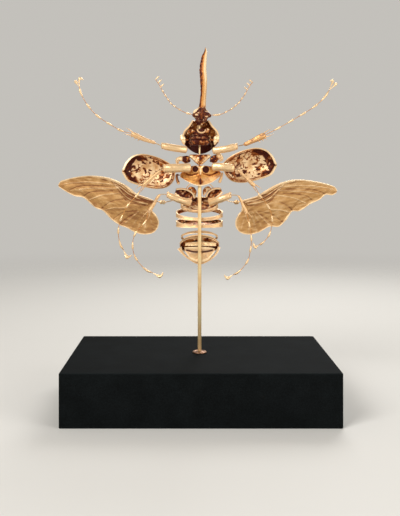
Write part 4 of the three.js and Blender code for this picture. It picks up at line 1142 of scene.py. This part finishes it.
def elytron(side, rim, crumple):
    """A dish seen from inside: a pale rolled rim, a dark band inside its outer end, and a crumpled lining."""
    sign, lift = SIDES[side], ELYTRON_LIFT[side]

    def place(points):
        return np.array([(sign * x, z + lift) for x, z in points])

    def dish(u, v, grid):
        return ELYTRON_DEPTH * np.sin(np.pi * (0.03 + 0.94 * v)) ** 0.6 * np.sin(np.pi * u) ** 0.5

    upper, lower = place(ELYTRON_UPPER), place(ELYTRON_LOWER)
    u, v, grid = between(at_depth(upper, ELYTRON_Y), at_depth(lower, ELYTRON_Y), GRIDS["elytron"], dish)
    flat = grid[..., [0, 2]]
    edge = np.minimum(near(flat, upper, 80), near(flat, lower, 80))
    start = 0.43 + 0.22 * smoothstep(0.3, 0.7, v)
    outer = smoothstep(start, start + 0.1, u)
    width = rim * (0.35 + 0.65 * smoothstep(0.5, 0.85, u))
    lip = 1 - smoothstep(0.7, 1.0, edge / width)
    wander = uneven(grid, 3.2, 2 + sign)
    band = (1 - smoothstep(3.2, 5, edge - width + 8 * wander)) * outer
    bright = lip * smoothstep(0.45, 0.75, u)
    broken = smoothstep(0.38, 0.55, rough(grid, 2.2, 15 + sign))
    folds = most(*(hump(near(flat, place(line)) + 2.5 * wander, 0, 0.55) for line in ELYTRON_CREASES))
    crackle = creases(grid, 2.8, 0.13, 5 + sign) * smoothstep(0.4, 0.6, rough(grid, 5, 11 + sign))
    spots = smoothstep(0.7, 0.84, grain(grid, 1.6, 9 + sign))
    rust = smoothstep(0.55, 0.2, u) * smoothstep(0.42, 0.62, rough(grid, 2.6, 13 + sign))
    line = hump(edge, 1.3, 0.6) * (1 - outer)
    dark = most(band * (0.72 + 1.4 * wander), 0.75 * folds * broken, 0.5 * crackle, 0.7 * spots,
                0.54 * rust, 0.45 * line)
    dark = clamp(dark) * (1 - lip)
    lining = uneven(grid, 3.4, 7)
    inside = 0.3 * lip + crumple * lining * (1 - lip) - 0.2 * dark
    striae = 0.1 * np.sin(2 * np.pi * 9 * v) + 0.14 * uneven(grid, 1.2, 3)
    leaf = clamp(0.7 + 1.2 * lining) * smoothstep(0.5, 0.15, dark) * (1 - lip)
    return plate(grid, WALL, relief=(inside, 0.1 * lip + striae * (1 - lip)),
                 patina=(clamp(dark + 0.25 * lining + 0.4 * (lip - bright)),
                         clamp(0.1 + 0.5 * wander) * (1 - lip)),
                 shine=(np.maximum(bright, leaf), 0.25 + 0.6 * lip))


def elytron_wire(side):
    """From the elytron's root to the pin."""
    sign, lift = SIDES[side], ELYTRON_LIFT[side]
    return wire([(sign * 17.2, ELYTRON_Y, 164 + lift), (sign * 10, 4.5, 165 + lift / 2),
                 (sign * (PIN_RADIUS + GAP), 0, 164.5)])


# The hind wings

WINGS = {  # leading and trailing edge from root to tip, and the wire's far end
    "left": {
        "leading": [
            (-32.6, 142.8), (-38, 144.8), (-45.7, 147.6), (-53.8, 153.9), (-64.7, 158.6), (-76, 160.2),
            (-86, 159.6), (-95, 157.7), (-99.4, 156.2), (-101, 153.8)],
        "trailing": [
            (-32.5, 142), (-33.6, 138), (-33.4, 134.9), (-30.8, 131.6), (-29, 127.7), (-29.9, 123),
            (-33.1, 119.6), (-39.1, 118.5), (-45.7, 119.8), (-51.4, 123), (-56.6, 125), (-61.8, 128.4),
            (-69.1, 135.5), (-73.6, 137.1), (-82.7, 144.5), (-89.4, 145.9), (-97.4, 150.2), (-100.4, 152.2)],
        "hold": (-14.2, 6.3, 145),
    },
    "right": {
        "leading": [
            (30.2, 142.8), (34.7, 143.7), (41.9, 146.1), (54.8, 153.7), (64.7, 156.9), (74, 157.3),
            (84.3, 155.8), (92.7, 153.8), (97, 152), (98.4, 149.8)],
        "trailing": [
            (30, 141.9), (30, 138.3), (29.7, 134.9), (27.3, 131.9), (25.6, 127.8), (26.2, 123),
            (29.4, 119.7), (35.4, 118.4), (42.3, 120), (49.9, 124), (56.5, 124), (60.6, 127.7),
            (65.9, 134.7), (71.1, 135.1), (79.1, 140.1), (85.7, 143.2), (90.1, 146.7), (95, 146.4),
            (97.8, 148)],
        "hold": (13.9, 5.9, 146.2),
    },
}
WING_PLEAT, WING_PLEATS, WING_TIP_BACK, WING_THICK = 0.7, 1.5, 3, 0.6
WING_FAN = 0.8  # the leading edge runs ahead of the trailing one, so the lines between them fan out
WING_HINGE = (1.5, 0.8)  # half width and half depth of the lump on a wing's wire
# One drawing of the veins and folds serves both wings; each turns it about its root and stretches it
VEIN_ROOT = (31.2, 142.4)
VEIN_TURN = {"left": 0.035, "right": -0.02}
VEIN_STRETCH = 1.015
VEINS = [  # raised and pale: three from the root, the joint, three to the tip and two in the trailing part
    [(32, 141.6), (40, 144.2), (48, 148), (55, 152.6), (60, 155), (68, 156.8)],
    [(33.5, 141), (41, 142.8), (48.5, 146), (54.5, 150.4), (58.5, 153)],
    [(35.4, 139.6), (42, 140.8), (48.1, 142.6), (53, 146.4), (57, 151)],
    [(60.6, 155.4), (58.6, 152.2), (56.9, 150)],
    [(58.6, 152.4), (68, 153.4), (78, 153.8), (88, 152.8), (95, 151.6)],
    [(57, 150), (66, 149.6), (74, 149.4), (84, 148.2)],
    [(54, 146.6), (60, 146), (68, 144.6), (76, 141.4)],
    [(65.4, 134.1), (59.9, 135.9), (50.9, 136.7), (48.5, 139.6)],
    [(41.5, 134.2), (46, 129.8), (51, 125.1)],
]
LOBE_RAYS = [[(36, 136), (33, 129), (31, 122.4)], [(36.6, 135.6), (36.4, 127), (36.6, 119.4)],
             [(37.4, 135), (40, 127), (42, 120)], [(38.4, 134.6), (43.5, 127), (46.6, 121.6)]]
FOLDS = [  # sunk and dark
    [(81.3, 143.2), (76.8, 146.1), (70.9, 147.4), (60.3, 148)],
    [(67.6, 135.4), (63.5, 138.8), (59.1, 141.1), (52.6, 142.4)],
    [(36.6, 141.4), (44, 143), (51, 147), (56.6, 151.6)],
    [(37, 138.4), (43, 139.2), (49, 140.6), (54, 145)],
    [(42.5, 134.6), (47, 134), (53, 132.6), (58, 129), (60, 127.4)],
    [(44, 132.6), (49, 129.6), (54, 125)],
    [(91, 147.4), (84, 150.4), (74, 151.4), (62, 151)],
]
CRINKLE_TURN, CRINKLE_STRETCH = 0.22, 3.0
WING_DULL = {"left": 0.12, "right": 0}  # how much browner the leaf of a wing is


def wing_point(point, side):
    """A point of the veins' drawing, turned about the root and set on its side."""
    x, z = (np.array(point) - VEIN_ROOT) * (VEIN_STRETCH, 1)
    c, s = math.cos(VEIN_TURN[side]), math.sin(VEIN_TURN[side])
    root = WINGS[side]["leading"][0]
    return root[0] + SIDES[side] * (x * c - z * s), root[1] + x * s + z * c


def hindwing(side, vein, crinkle):
    """A pleated membrane with raised veins, sunk folds, fine crinkles along it and a pale hem."""
    def place(points):
        return np.array([wing_point(p, side) for p in points])

    def pleats(u, v, grid):
        return (WING_PLEAT * np.sin(2 * np.pi * WING_PLEATS * v) * np.sin(np.pi * u) + WING_TIP_BACK * u ** 2)

    leading, trailing = (np.array(WINGS[side][edge], float) for edge in ("leading", "trailing"))
    fanned = by_length(at_depth(leading, WING_Y), np.linspace(0, 1, 80) ** WING_FAN)
    u, v, grid = between(fanned, at_depth(trailing, WING_Y), GRIDS["wing"], pleats)
    flat = grid[..., [0, 2]]
    front_edge, rear_edge = near(flat, leading, 80), near(flat, trailing, 120)
    costa = hump(front_edge, 0, 1.1) * smoothstep(0.75, 0.4, u)
    hem = np.maximum(hump(front_edge, 0, 0.6), hump(rear_edge, 0, 0.6))
    ridge = most(*(hump(near(flat, place(line)), 0, 0.32) for line in VEINS))
    rays = most(*(hump(near(flat, place(line)), 0, 0.5) for line in LOBE_RAYS))
    fold = most(*(hump(near(flat, place(line)), 0, 0.35) for line in FOLDS))
    shadow = most(*(hump(near(flat, place(line)), 0.9, 0.35) for line in VEINS[:3]))
    turn = CRINKLE_TURN * SIDES[side]
    along = np.stack([(flat[..., 0] * math.cos(turn) + flat[..., 1] * math.sin(turn)) / CRINKLE_STRETCH,
                      0 * u, flat[..., 1] * math.cos(turn) - flat[..., 0] * math.sin(turn)], axis=-1)
    fine = uneven(along, 1.2, 3)
    patches = uneven(along, 4.5, 6)
    brown = hump(flat[..., 0], SIDES[side] * 42, 11) * smoothstep(0.46, 0.62, rough(along, 2.4, 8))
    front = crinkle * fine - 0.3 * fold - 0.12 * shadow + 0.5 * vein * rays
    thick = vein * np.maximum(ridge, 0.9 * costa) + 0.16 * hem
    return plate(grid, WING_THICK, relief=(thick + front, thick - front),
                 patina=(clamp(0.45 * fold + 0.4 * shadow + 0.15 * brown - 0.8 * fine - 0.35 * patches
                               + WING_DULL[side]),
                         clamp(0.3 * ridge - 0.3 * fine)),
                 shine=(clamp(most(hem, 0.6 * ridge, 0.5 * costa, 0.3 * rays)
                              + 0.8 * fine + 0.4 * patches - 0.2 * brown - WING_DULL[side]),
                        clamp(hem + 0.4 * fine)))


def wing_wire(side):
    """From the wing's root, over the lump of its hinge, to the back of the hind coxa."""
    sign = SIDES[side]
    x, z = WINGS[side]["leading"][0]
    path = np.array([(x - sign * 2 * GAP, WING_Y, z - 0.4), (sign * 26.3, WING_Y, 141.4),
                     (sign * 19.6, 4.6, 142.6), WINGS[side]["hold"]])
    hinge = shares(path)[1]

    def relief(points, angle, t):
        return 0.9 * uneven(points, 1.4, 3) * hump(t, hinge, 0.1)

    def patina(points, angle, t):
        return hump(t, hinge, 0.1) * smoothstep(0.4, 0.65, rough(points, 1.5, 5))

    stations = [(0, WIRE), (hinge - 0.13, WIRE), (hinge - 0.05, *WING_HINGE), (hinge + 0.05, *WING_HINGE),
                (hinge + 0.13, WIRE), (1, WIRE)]
    return limb(path, stations, sides=24, rings=160, relief=relief, patina=patina, shine=0.5)


# The legs, as [x, z] points: the femur, its thickness, and how much its inner end is widened and set back to
# meet the body; the tibia, its breadth, its teeth and how pale its leaf is rubbed; and the tarsus, as five
# beads and the elbows of its two claws, which end in a hook

SPUR_OUT, SPUR_BACK = 2, 0.8  # how far a spur's tip stands out to the side and to the back
KNEE_NOTCH = 0.9  # where along a femur the notch is
TIBIA_RIDGES = 5
BRISTLES_AT = (0.4, 0.6, 0.8)  # shares of a tibia's length with a bristle on each side
LEGS = {
    "fore_left": {
        "femur": [(-8.6, 178.4), (-17.6, 179.6), (-27.2, 181.4)], "stout": 2.5, "inner": 1, "inset": 2.4,
        "tibia": [(-31, 183), (-39.8, 186), (-48, 189.8)], "broad": 1.8, "teeth": 3, "rubbed": 0.5,
        "beads": [(-55.3, 191.8), (-63, 196.3), (-70.7, 201.3), (-77.5, 208.4), (-83.2, 218.3)],
        "claws": [(-87, 226.2), (-84, 228.5)], "hook": (2.4, -1.2),
    },
    "fore_right": {
        "femur": [(8.8, 177.8), (17.4, 178.6), (26.8, 181)], "stout": 2.5, "inner": 1, "inset": 2.4,
        "tibia": [(31, 182), (38.6, 185.4), (46.2, 189)], "broad": 2.2, "teeth": 3, "rubbed": 0.3,
        "beads": [(54.3, 193.1), (63.4, 198.2), (71.8, 203.2), (80.2, 208.6), (87.6, 215.5)],
        "claws": [(92.9, 226.7), (95.7, 224.7)], "hook": (-1.8, -0.2),
    },
    "mid_left": {
        "femur": [(-5.8, 165.8), (-16, 165.6), (-26, 165.3)], "stout": 3.1, "inner": 1, "inset": 1.7,
        "tibia": [(-27.6, 163.8), (-33.4, 158.8), (-40, 152.8)], "broad": 1.5, "teeth": 0, "rubbed": 0.5,
        "beads": [(-43.7, 146.8), (-49.9, 139.8), (-54.6, 130.8), (-56.8, 122), (-55.4, 112)],
        "claws": [(-50.9, 102.9), (-50.2, 103.3)], "hook": (2.6, 1.2),
    },
    "mid_right": {
        "femur": [(8.4, 166.6), (16, 166.2), (24.6, 165.2)], "stout": 2.9, "inner": 1, "inset": 2,
        "tibia": [(26.8, 164), (32.6, 158.6), (38.6, 152.8)], "broad": 1.4, "teeth": 0, "rubbed": 0.5,
        "beads": [(42, 146.4), (47.6, 139), (50.4, 130.4), (48.6, 119.4), (43.6, 113)],
        "claws": [(39, 110), (38.4, 110.5)], "hook": (-1.2, 3),
    },
    "hind_left": {
        "femur": [(-6, 141), (-14.8, 143.6), (-23.2, 147.2)], "stout": 2.3, "inner": 1.25, "inset": 6.4,
        "tibia": [(-27.8, 146.8), (-32, 140.4), (-36, 134)], "broad": 1.4, "teeth": 0, "rubbed": 0.5,
        "beads": [(-38.4, 127.4), (-45, 119.8), (-46.8, 111.4), (-44.8, 103), (-37.2, 94.2)],
        "claws": [(-27.9, 89.6), (-27.3, 90.1)], "hook": (1.8, 2.4),
    },
    "hind_right": {
        "femur": [(6.4, 141.4), (14.4, 143.6), (22.2, 146.8)], "stout": 2.3, "inner": 1.25, "inset": 6.4,
        "tibia": [(27, 146), (30.2, 139.8), (33.2, 133.4)], "broad": 1.2, "teeth": 0, "rubbed": 0.5,
        "beads": [(34.6, 126.2), (36, 116.8), (35.4, 109), (33.2, 100.4), (26.6, 92.6)],
        "claws": [(19.4, 88.3), (18.9, 88.8)], "hook": (-1.7, 2),
    },
}


def femur(path, stout, inner):
    """A smooth stout bar, blunt at both ends, with painted shade on its edges, a groove and a notch at the
    knee.
    """
    def relief(points, angle, t):
        groove = 0.3 * hump(np.cos(angle), 0.75, 0.25) * smoothstep(0.15, 0.4, t) * smoothstep(0.98, 0.8, t)
        return 0.35 * uneven(points, 3, 3) - groove - 0.3 * hump(t, KNEE_NOTCH, 0.015)

    def patina(points, angle, t):
        # painted shade: darker towards the two edges across the bar, where it turns away from the front
        return (0.3 * smoothstep(0.6, 1, np.abs(np.cos(angle))) + 0.5 * hump(t, KNEE_NOTCH, 0.02)
                + 0.5 * smoothstep(0.07, 0, t) + 0.4 * uneven(points, 2, 5))

    bar = [(0, 0.7 * inner, 0.5), (0.05, inner, 0.7), (0.35, 0.6 + 0.4 * inner, 0.8), (0.7, 1, 0.8),
           (0.94, 0.9, 0.7), (1, 0.55, 0.4)]
    thigh = limb(path, [(t, stout * w, stout * d) for t, w, d in bar], sides=32, rings=84, relief=relief,
                 patina=patina, shine=0.52)
    knee = lump(path[-1] + (-0.04 * path[-1][0], 0, 0.5 * stout), (0.9, 0.9, 0.8), shine=0.6)
    return thigh, knee


def tibia(knee, path, broad, teeth, rubbed, spur):
    """A knee wire that swells into a ridged shaft with short bristles, two long spurs, and teeth if fore."""
    end = path[-1]
    along = unit(end - path[1])
    outward = np.cross(along, FRONT)
    whole = np.vstack([knee, path])
    bare = shares(whole)[1]

    def station(t, width, depth):
        return bare + (1 - bare) * t, width * broad, depth * broad

    def relief(points, angle, t):
        shaft = smoothstep(bare, bare + 0.1, t)
        return shaft * (0.1 * np.cos(TIBIA_RIDGES * angle) + 0.35 * uneven(points, 1.6, 6))

    def patina(points, angle, t):
        knee_wire = 0.6 * smoothstep(bare, 0.8 * bare, t)
        worn = 0.3 * smoothstep(0.45, 0.7, rough(points, 1.8, 8))
        return knee_wire + worn + 0.15 * np.cos(TIBIA_RIDGES * angle + np.pi)

    shaft = limb(whole, [(0, WIRE, WIRE), (bare * 0.9, WIRE, WIRE), station(0.04, 0.6, 0.6),
                         station(0.4, 0.75, 0.7), station(0.85, 1, 0.7), station(1, 0.7, 0.5)],
                 sides=30, rings=116, relief=relief, patina=patina, shine=rubbed)
    spurs = [spike(end - along + lean * 0.6 * broad * outward, end + along * spur + lean * SPUR_OUT * outward
                   + (0, SPUR_BACK, 0), 0.42, bend=outward * lean * 0.3) for lean in (-1, 1)]
    down = outward * (1 if outward[2] < 0 else -1)
    roots = [path[1] + (end - path[1]) * (0.2 + 0.3 * i) for i in range(teeth)]
    blades = [spike(root, root + down * broad * 1.7 + along, 0.9, bend=down * 0.2) for root in roots]
    bristles = [spike(p, p + s * outward * (broad + 0.1) + along * 0.8, 0.07)
                for p in by_length(path, BRISTLES_AT) for s in (-1, 1)]
    return shaft, *spurs, *blades, *bristles


def tarsus(start, beads, claws, hook, bead):
    """Five spindle beads on a thread, each with two hairs at its end, and a pair of claws."""
    fork = 0.45 * claws.mean(0) + 0.55 * beads[-1]
    bowed = beads.copy()
    bowed[:, 1] -= TARSUS_BOW * np.sin(np.pi * np.arange(1, 6) / 6)
    path = np.vstack([start, bowed, fork])
    share = shares(path)
    bumps = [(share[i + 1], 0.05 if i < 4 else 0.8 * (1 - share[5]), bead) for i in range(5)]
    thread = beaded(path, bumps, TARSUS_THREAD)
    ways = unit(np.gradient(path, axis=0))[1:-1]
    hairs = [spike(p + 0.9 * way, p + 1.9 * way + s * 0.9 * np.cross(way, FRONT), 0.09)
             for p, way in zip(bowed, ways) for s in (-1, 1)]
    hooks = []
    for elbow, side in zip(claws, (-1, 1)):
        bend = elbow + (0, 0.8 * side, 0)
        claw = np.array([fork, bend, bend + (hook[0], 0, hook[1])])
        share = shares(claw)[1]
        hooks.append(limb(claw, [(0, TARSUS_THREAD), (0.5 * share, 0.4), (share, 0.9), (1, 0.25)],
                          sides=16, rings=50, shine=0.75))
    return thread, *hairs, *hooks


# Operators

class BEETLE_OT_mount(bpy.types.Operator):
    """Makes the stone slab, the rod's foot and the rod"""

    bl_idname = "beetle.mount"
    bl_label = "Slab and rod"

    def execute(self, context):
        dress("base_slab", "black_stone", rounded_slab(context.scene.beetle_sizes.slab_edge / MM))
        dress("rod_foot", "foot_copper", rod_foot())
        dress("support_rod", "rod_brass", support_rod())
        return {"FINISHED"}


class BEETLE_OT_head(bpy.types.Operator):
    """Makes the head with its horn"""

    bl_idname = "beetle.head"
    bl_label = "Head and horn"

    def execute(self, context):
        dress("head_with_horn", "dark_chitin", *head_with_horn())
        return {"FINISHED"}


class BEETLE_OT_antennae(bpy.types.Operator):
    """Makes both antennae"""

    bl_idname = "beetle.antennae"
    bl_label = "Antennae"

    def execute(self, context):
        for side, parts in ANTENNAE.items():
            dress(f"antenna_{side}", "pale_gilt_chitin", *antenna(**parts))
        return {"FINISHED"}


class BEETLE_OT_prothorax(bpy.types.Operator):
    """Makes the pronotum, the prosternum and the fore coxae"""

    bl_idname = "beetle.prothorax"
    bl_label = "Prothorax"

    def execute(self, context):
        dress("pronotum", "dark_chitin", *pronotum())
        dress("prosternum", "dark_chitin", *prosternum())
        for side, parts in FORE_COXAE.items():
            dress(f"fore_coxa_{side}", "pale_gilt_chitin", *fore_coxa(**parts))
        return {"FINISHED"}


class BEETLE_OT_mesothorax(bpy.types.Operator):
    """Makes the mesosternum and the mid coxae"""

    bl_idname = "beetle.mesothorax"
    bl_label = "Mesothorax"

    def execute(self, context):
        dress("mesosternum", "gilt_chitin", mesosternum())
        for side, path in MID_COXAE.items():
            dress(f"mid_coxa_{side}", "gilt_chitin", mid_coxa(path))
        return {"FINISHED"}


class BEETLE_OT_metathorax(bpy.types.Operator):
    """Makes the metasternum, its side plates and the hind coxae"""

    bl_idname = "beetle.metathorax"
    bl_label = "Metathorax"

    def execute(self, context):
        dress("metasternum", "gilt_chitin", metasternum())
        for side in SIDES:
            dress(f"side_plate_{side}", "dark_chitin", side_plate(*SIDE_PLATES[side]))
            dress(f"hind_coxa_{side}", "dark_chitin", *hind_coxa(**HIND_COXAE[side]))
        return {"FINISHED"}


class BEETLE_OT_abdomen(bpy.types.Operator):
    """Makes the abdomen's rings, the last sternite and the tail plate"""

    bl_idname = "beetle.abdomen"
    bl_label = "Abdomen"

    def execute(self, context):
        for i, ring in enumerate(RINGS, 1):
            dress(f"abdomen_ring_{i}", "gilt_chitin", *abdomen_ring(*ring, seed=i))
        for i, (node, band) in enumerate(BANDS.items()):
            slot = "pale_gilt_chitin" if node == "abdomen_ring_6" else "gilt_chitin"
            dress(node, slot, open_band(*band, seed=6 + i))
        return {"FINISHED"}


class BEETLE_OT_elytra(bpy.types.Operator):
    """Makes the elytra and the wires that hold them"""

    bl_idname = "beetle.elytra"
    bl_label = "Elytra"

    def execute(self, context):
        sizes = context.scene.beetle_sizes
        for side in SIDES:
            dress(f"elytron_{side}", "gilt_chitin", elytron(side, sizes.rim / MM, sizes.crumple / MM))
            dress(f"elytron_wire_{side}", "mounting_wire", elytron_wire(side))
        return {"FINISHED"}


class BEETLE_OT_hindwings(bpy.types.Operator):
    """Makes the hind wings and the wires that hold them"""

    bl_idname = "beetle.hindwings"
    bl_label = "Hind wings"

    def execute(self, context):
        sizes = context.scene.beetle_sizes
        for side in SIDES:
            dress(f"hindwing_{side}", "wing_membrane", hindwing(side, sizes.vein / MM, sizes.crinkle / MM))
            dress(f"wing_wire_{side}", "mounting_wire", wing_wire(side))
        return {"FINISHED"}


class BEETLE_OT_legs(bpy.types.Operator):
    """Makes the femur, tibia and tarsus of each leg"""

    bl_idname = "beetle.legs"
    bl_label = "Legs"

    def execute(self, context):
        sizes = context.scene.beetle_sizes
        for name, parts in LEGS.items():
            thigh, shin, beads, claws = (np.array(at_depth(parts[key], LEG_Y), float)
                                         for key in ("femur", "tibia", "beads", "claws"))
            thigh[0, 1] += parts["inset"]
            knee = thigh[-1] + GAP * unit(shin[0] - thigh[-1])
            ankle = shin[-1] + GAP * unit(shin[-1] - shin[1])
            dress(f"femur_{name}", "pale_gilt_chitin", *femur(thigh, parts["stout"], parts["inner"]))
            dress(f"tibia_{name}", "gilt_chitin",
                  *tibia(knee, shin, parts["broad"], parts["teeth"], parts["rubbed"], sizes.spur / MM))
            dress(f"tarsus_{name}", "pale_gilt_chitin",
                  *tarsus(ankle, beads, claws, parts["hook"], sizes.bead / MM))
        return {"FINISHED"}


CAMERA_PLACE = (-0.0082, -0.5585, 0.157)  # level, looking along +Y
IMAGE_WIDTH, IMAGE_HEIGHT = 400, 516  # pixels of the picture
HORIZON_X, HORIZON_Y = 188.0, 180.3  # the pixel straight ahead of the camera
FLOOR_SIZE = 16.0
FLOOR_FADE = (0.28, 1.25)  # where the floor starts to fade into the backdrop, and where it is gone
LIGHTS = {  # place, and edge of each square soft box, in metres
    "key": ((-0.55, -0.75, 0.75), 0.5),
    "fill": ((0.75, -0.6, 0.35), 0.6),
    "back": ((0.25, 0.7, 0.7), 0.5),
}
TARGET = (0.0, 0.0, 0.14)
SKY_LIGHT, SKY_SEEN = 0.5, 0.78  # strength of the backdrop as a light, and as the camera sees it
NEAR_LIMIT = 0.01


def floor_paint(tint):
    """Matt pale paint on a flat floor, faintly uneven, that fades into the backdrop far from the object."""
    material, tree, place = bare_material("matt_floor_paint")
    clouds = add_node(tree, "ShaderNodeTexNoise", {"Vector": place, "Scale": 1 / (90 * MM)}).outputs["Fac"]
    matt = add_node(tree, "ShaderNodeMapRange", {"Value": clouds, "To Min": 0.7, "To Max": 0.85})
    paint = add_node(tree, "ShaderNodeBsdfPrincipled", {"Base Color": tint, "Roughness": matt.outputs[0],
                                                        "Specular IOR Level": 0.2})
    away = add_node(tree, "ShaderNodeVectorMath", {0: place}, operation="LENGTH")
    fade = add_node(tree, "ShaderNodeMapRange", {"Value": away.outputs["Value"], "From Min": FLOOR_FADE[0],
                                                 "From Max": FLOOR_FADE[1]}, interpolation_type="SMOOTHSTEP")
    clear = add_node(tree, "ShaderNodeBsdfTransparent")
    both = add_node(tree, "ShaderNodeMixShader", {0: fade.outputs[0], 1: paint.outputs[0],
                                                  2: clear.outputs[0]})
    add_node(tree, "ShaderNodeOutputMaterial", {"Surface": both.outputs[0]})
    return material


class BEETLE_OT_studio(bpy.types.Operator):
    """Makes the floor, the soft lights and the camera"""

    bl_idname = "beetle.studio"
    bl_label = "Studio"

    def execute(self, context):
        scene = context.scene
        studio = scene.beetle_studio
        bpy.ops.mesh.primitive_plane_add(size=FLOOR_SIZE)
        floor = context.object
        floor.name = "studio_floor"
        floor.data.materials.append(floor_paint(studio.floor))

        for name, (place, size) in LIGHTS.items():
            lamp = bpy.data.lights.new(f"{name}_softbox", "AREA")
            lamp.energy = getattr(studio, name)
            lamp.size = size
            holder = bpy.data.objects.new(f"{name}_softbox", lamp)
            holder.location = place
            aim = np.array(TARGET) - place
            holder.rotation_euler = (math.atan2(math.hypot(aim[0], aim[1]), -aim[2]), 0,
                                     math.atan2(aim[1], aim[0]) - math.pi / 2)
            scene.collection.objects.link(holder)

        world = bpy.data.worlds.new("pale_studio")
        world.use_nodes = True
        tree = world.node_tree
        tree.nodes.clear()
        seen = add_node(tree, "ShaderNodeLightPath").outputs["Is Camera Ray"]
        glow = add_node(tree, "ShaderNodeMapRange", {"Value": seen, "To Min": SKY_LIGHT, "To Max": SKY_SEEN})
        sky = add_node(tree, "ShaderNodeBackground", {"Color": studio.floor, "Strength": glow.outputs[0]})
        add_node(tree, "ShaderNodeOutputWorld", {"Surface": sky.outputs[0]})
        scene.world = world

        lens = bpy.data.cameras.new("camera")
        lens.lens = studio.lens
        lens.shift_x = (IMAGE_WIDTH / 2 - HORIZON_X) / IMAGE_HEIGHT
        lens.shift_y = (HORIZON_Y - IMAGE_HEIGHT / 2) / IMAGE_HEIGHT
        lens.clip_start = NEAR_LIMIT
        camera = bpy.data.objects.new("camera", lens)
        camera.location = CAMERA_PLACE
        camera.rotation_euler = (math.pi / 2, 0, 0)
        scene.collection.objects.link(camera)
        scene.camera = camera
        scene.view_settings.view_transform = "Standard"
        return {"FINISHED"}


OPERATORS = (BEETLE_OT_mount, BEETLE_OT_head, BEETLE_OT_antennae, BEETLE_OT_prothorax, BEETLE_OT_mesothorax,
             BEETLE_OT_metathorax, BEETLE_OT_abdomen, BEETLE_OT_elytra, BEETLE_OT_hindwings, BEETLE_OT_legs,
             BEETLE_OT_studio)
SETTINGS = {"beetle_sizes": BeetleSizes, "beetle_colours": BeetleColours, "beetle_studio": BeetleStudio}


class BEETLE_PT_panel(bpy.types.Panel):
    """Lists the pieces and their settings"""

    bl_idname = "BEETLE_PT_panel"
    bl_label = "Mounted beetle"
    bl_space_type = "VIEW_3D"
    bl_region_type = "UI"
    bl_category = "Beetle"

    def draw(self, context):
        for operator in OPERATORS:
            self.layout.operator(operator.bl_idname)
        for name, group in SETTINGS.items():
            box = self.layout.box()
            for key in group.__annotations__:
                box.prop(getattr(context.scene, name), key)


CLASSES = (*SETTINGS.values(), *OPERATORS, BEETLE_PT_panel)


def register():
    for cls in CLASSES:
        bpy.utils.register_class(cls)
    for name, group in SETTINGS.items():
        setattr(bpy.types.Scene, name, bpy.props.PointerProperty(type=group))


def unregister():
    for name in SETTINGS:
        delattr(bpy.types.Scene, name)
    for cls in reversed(CLASSES):
        bpy.utils.unregister_class(cls)


def main():
    register()
    bpy.ops.beetle.studio()
    bpy.ops.beetle.mount()
    bpy.ops.beetle.head()
    bpy.ops.beetle.antennae()
    bpy.ops.beetle.prothorax()
    bpy.ops.beetle.mesothorax()
    bpy.ops.beetle.metathorax()
    bpy.ops.beetle.abdomen()
    bpy.ops.beetle.elytra()
    bpy.ops.beetle.hindwings()
    bpy.ops.beetle.legs()


if __name__ == "__main__":
    main()
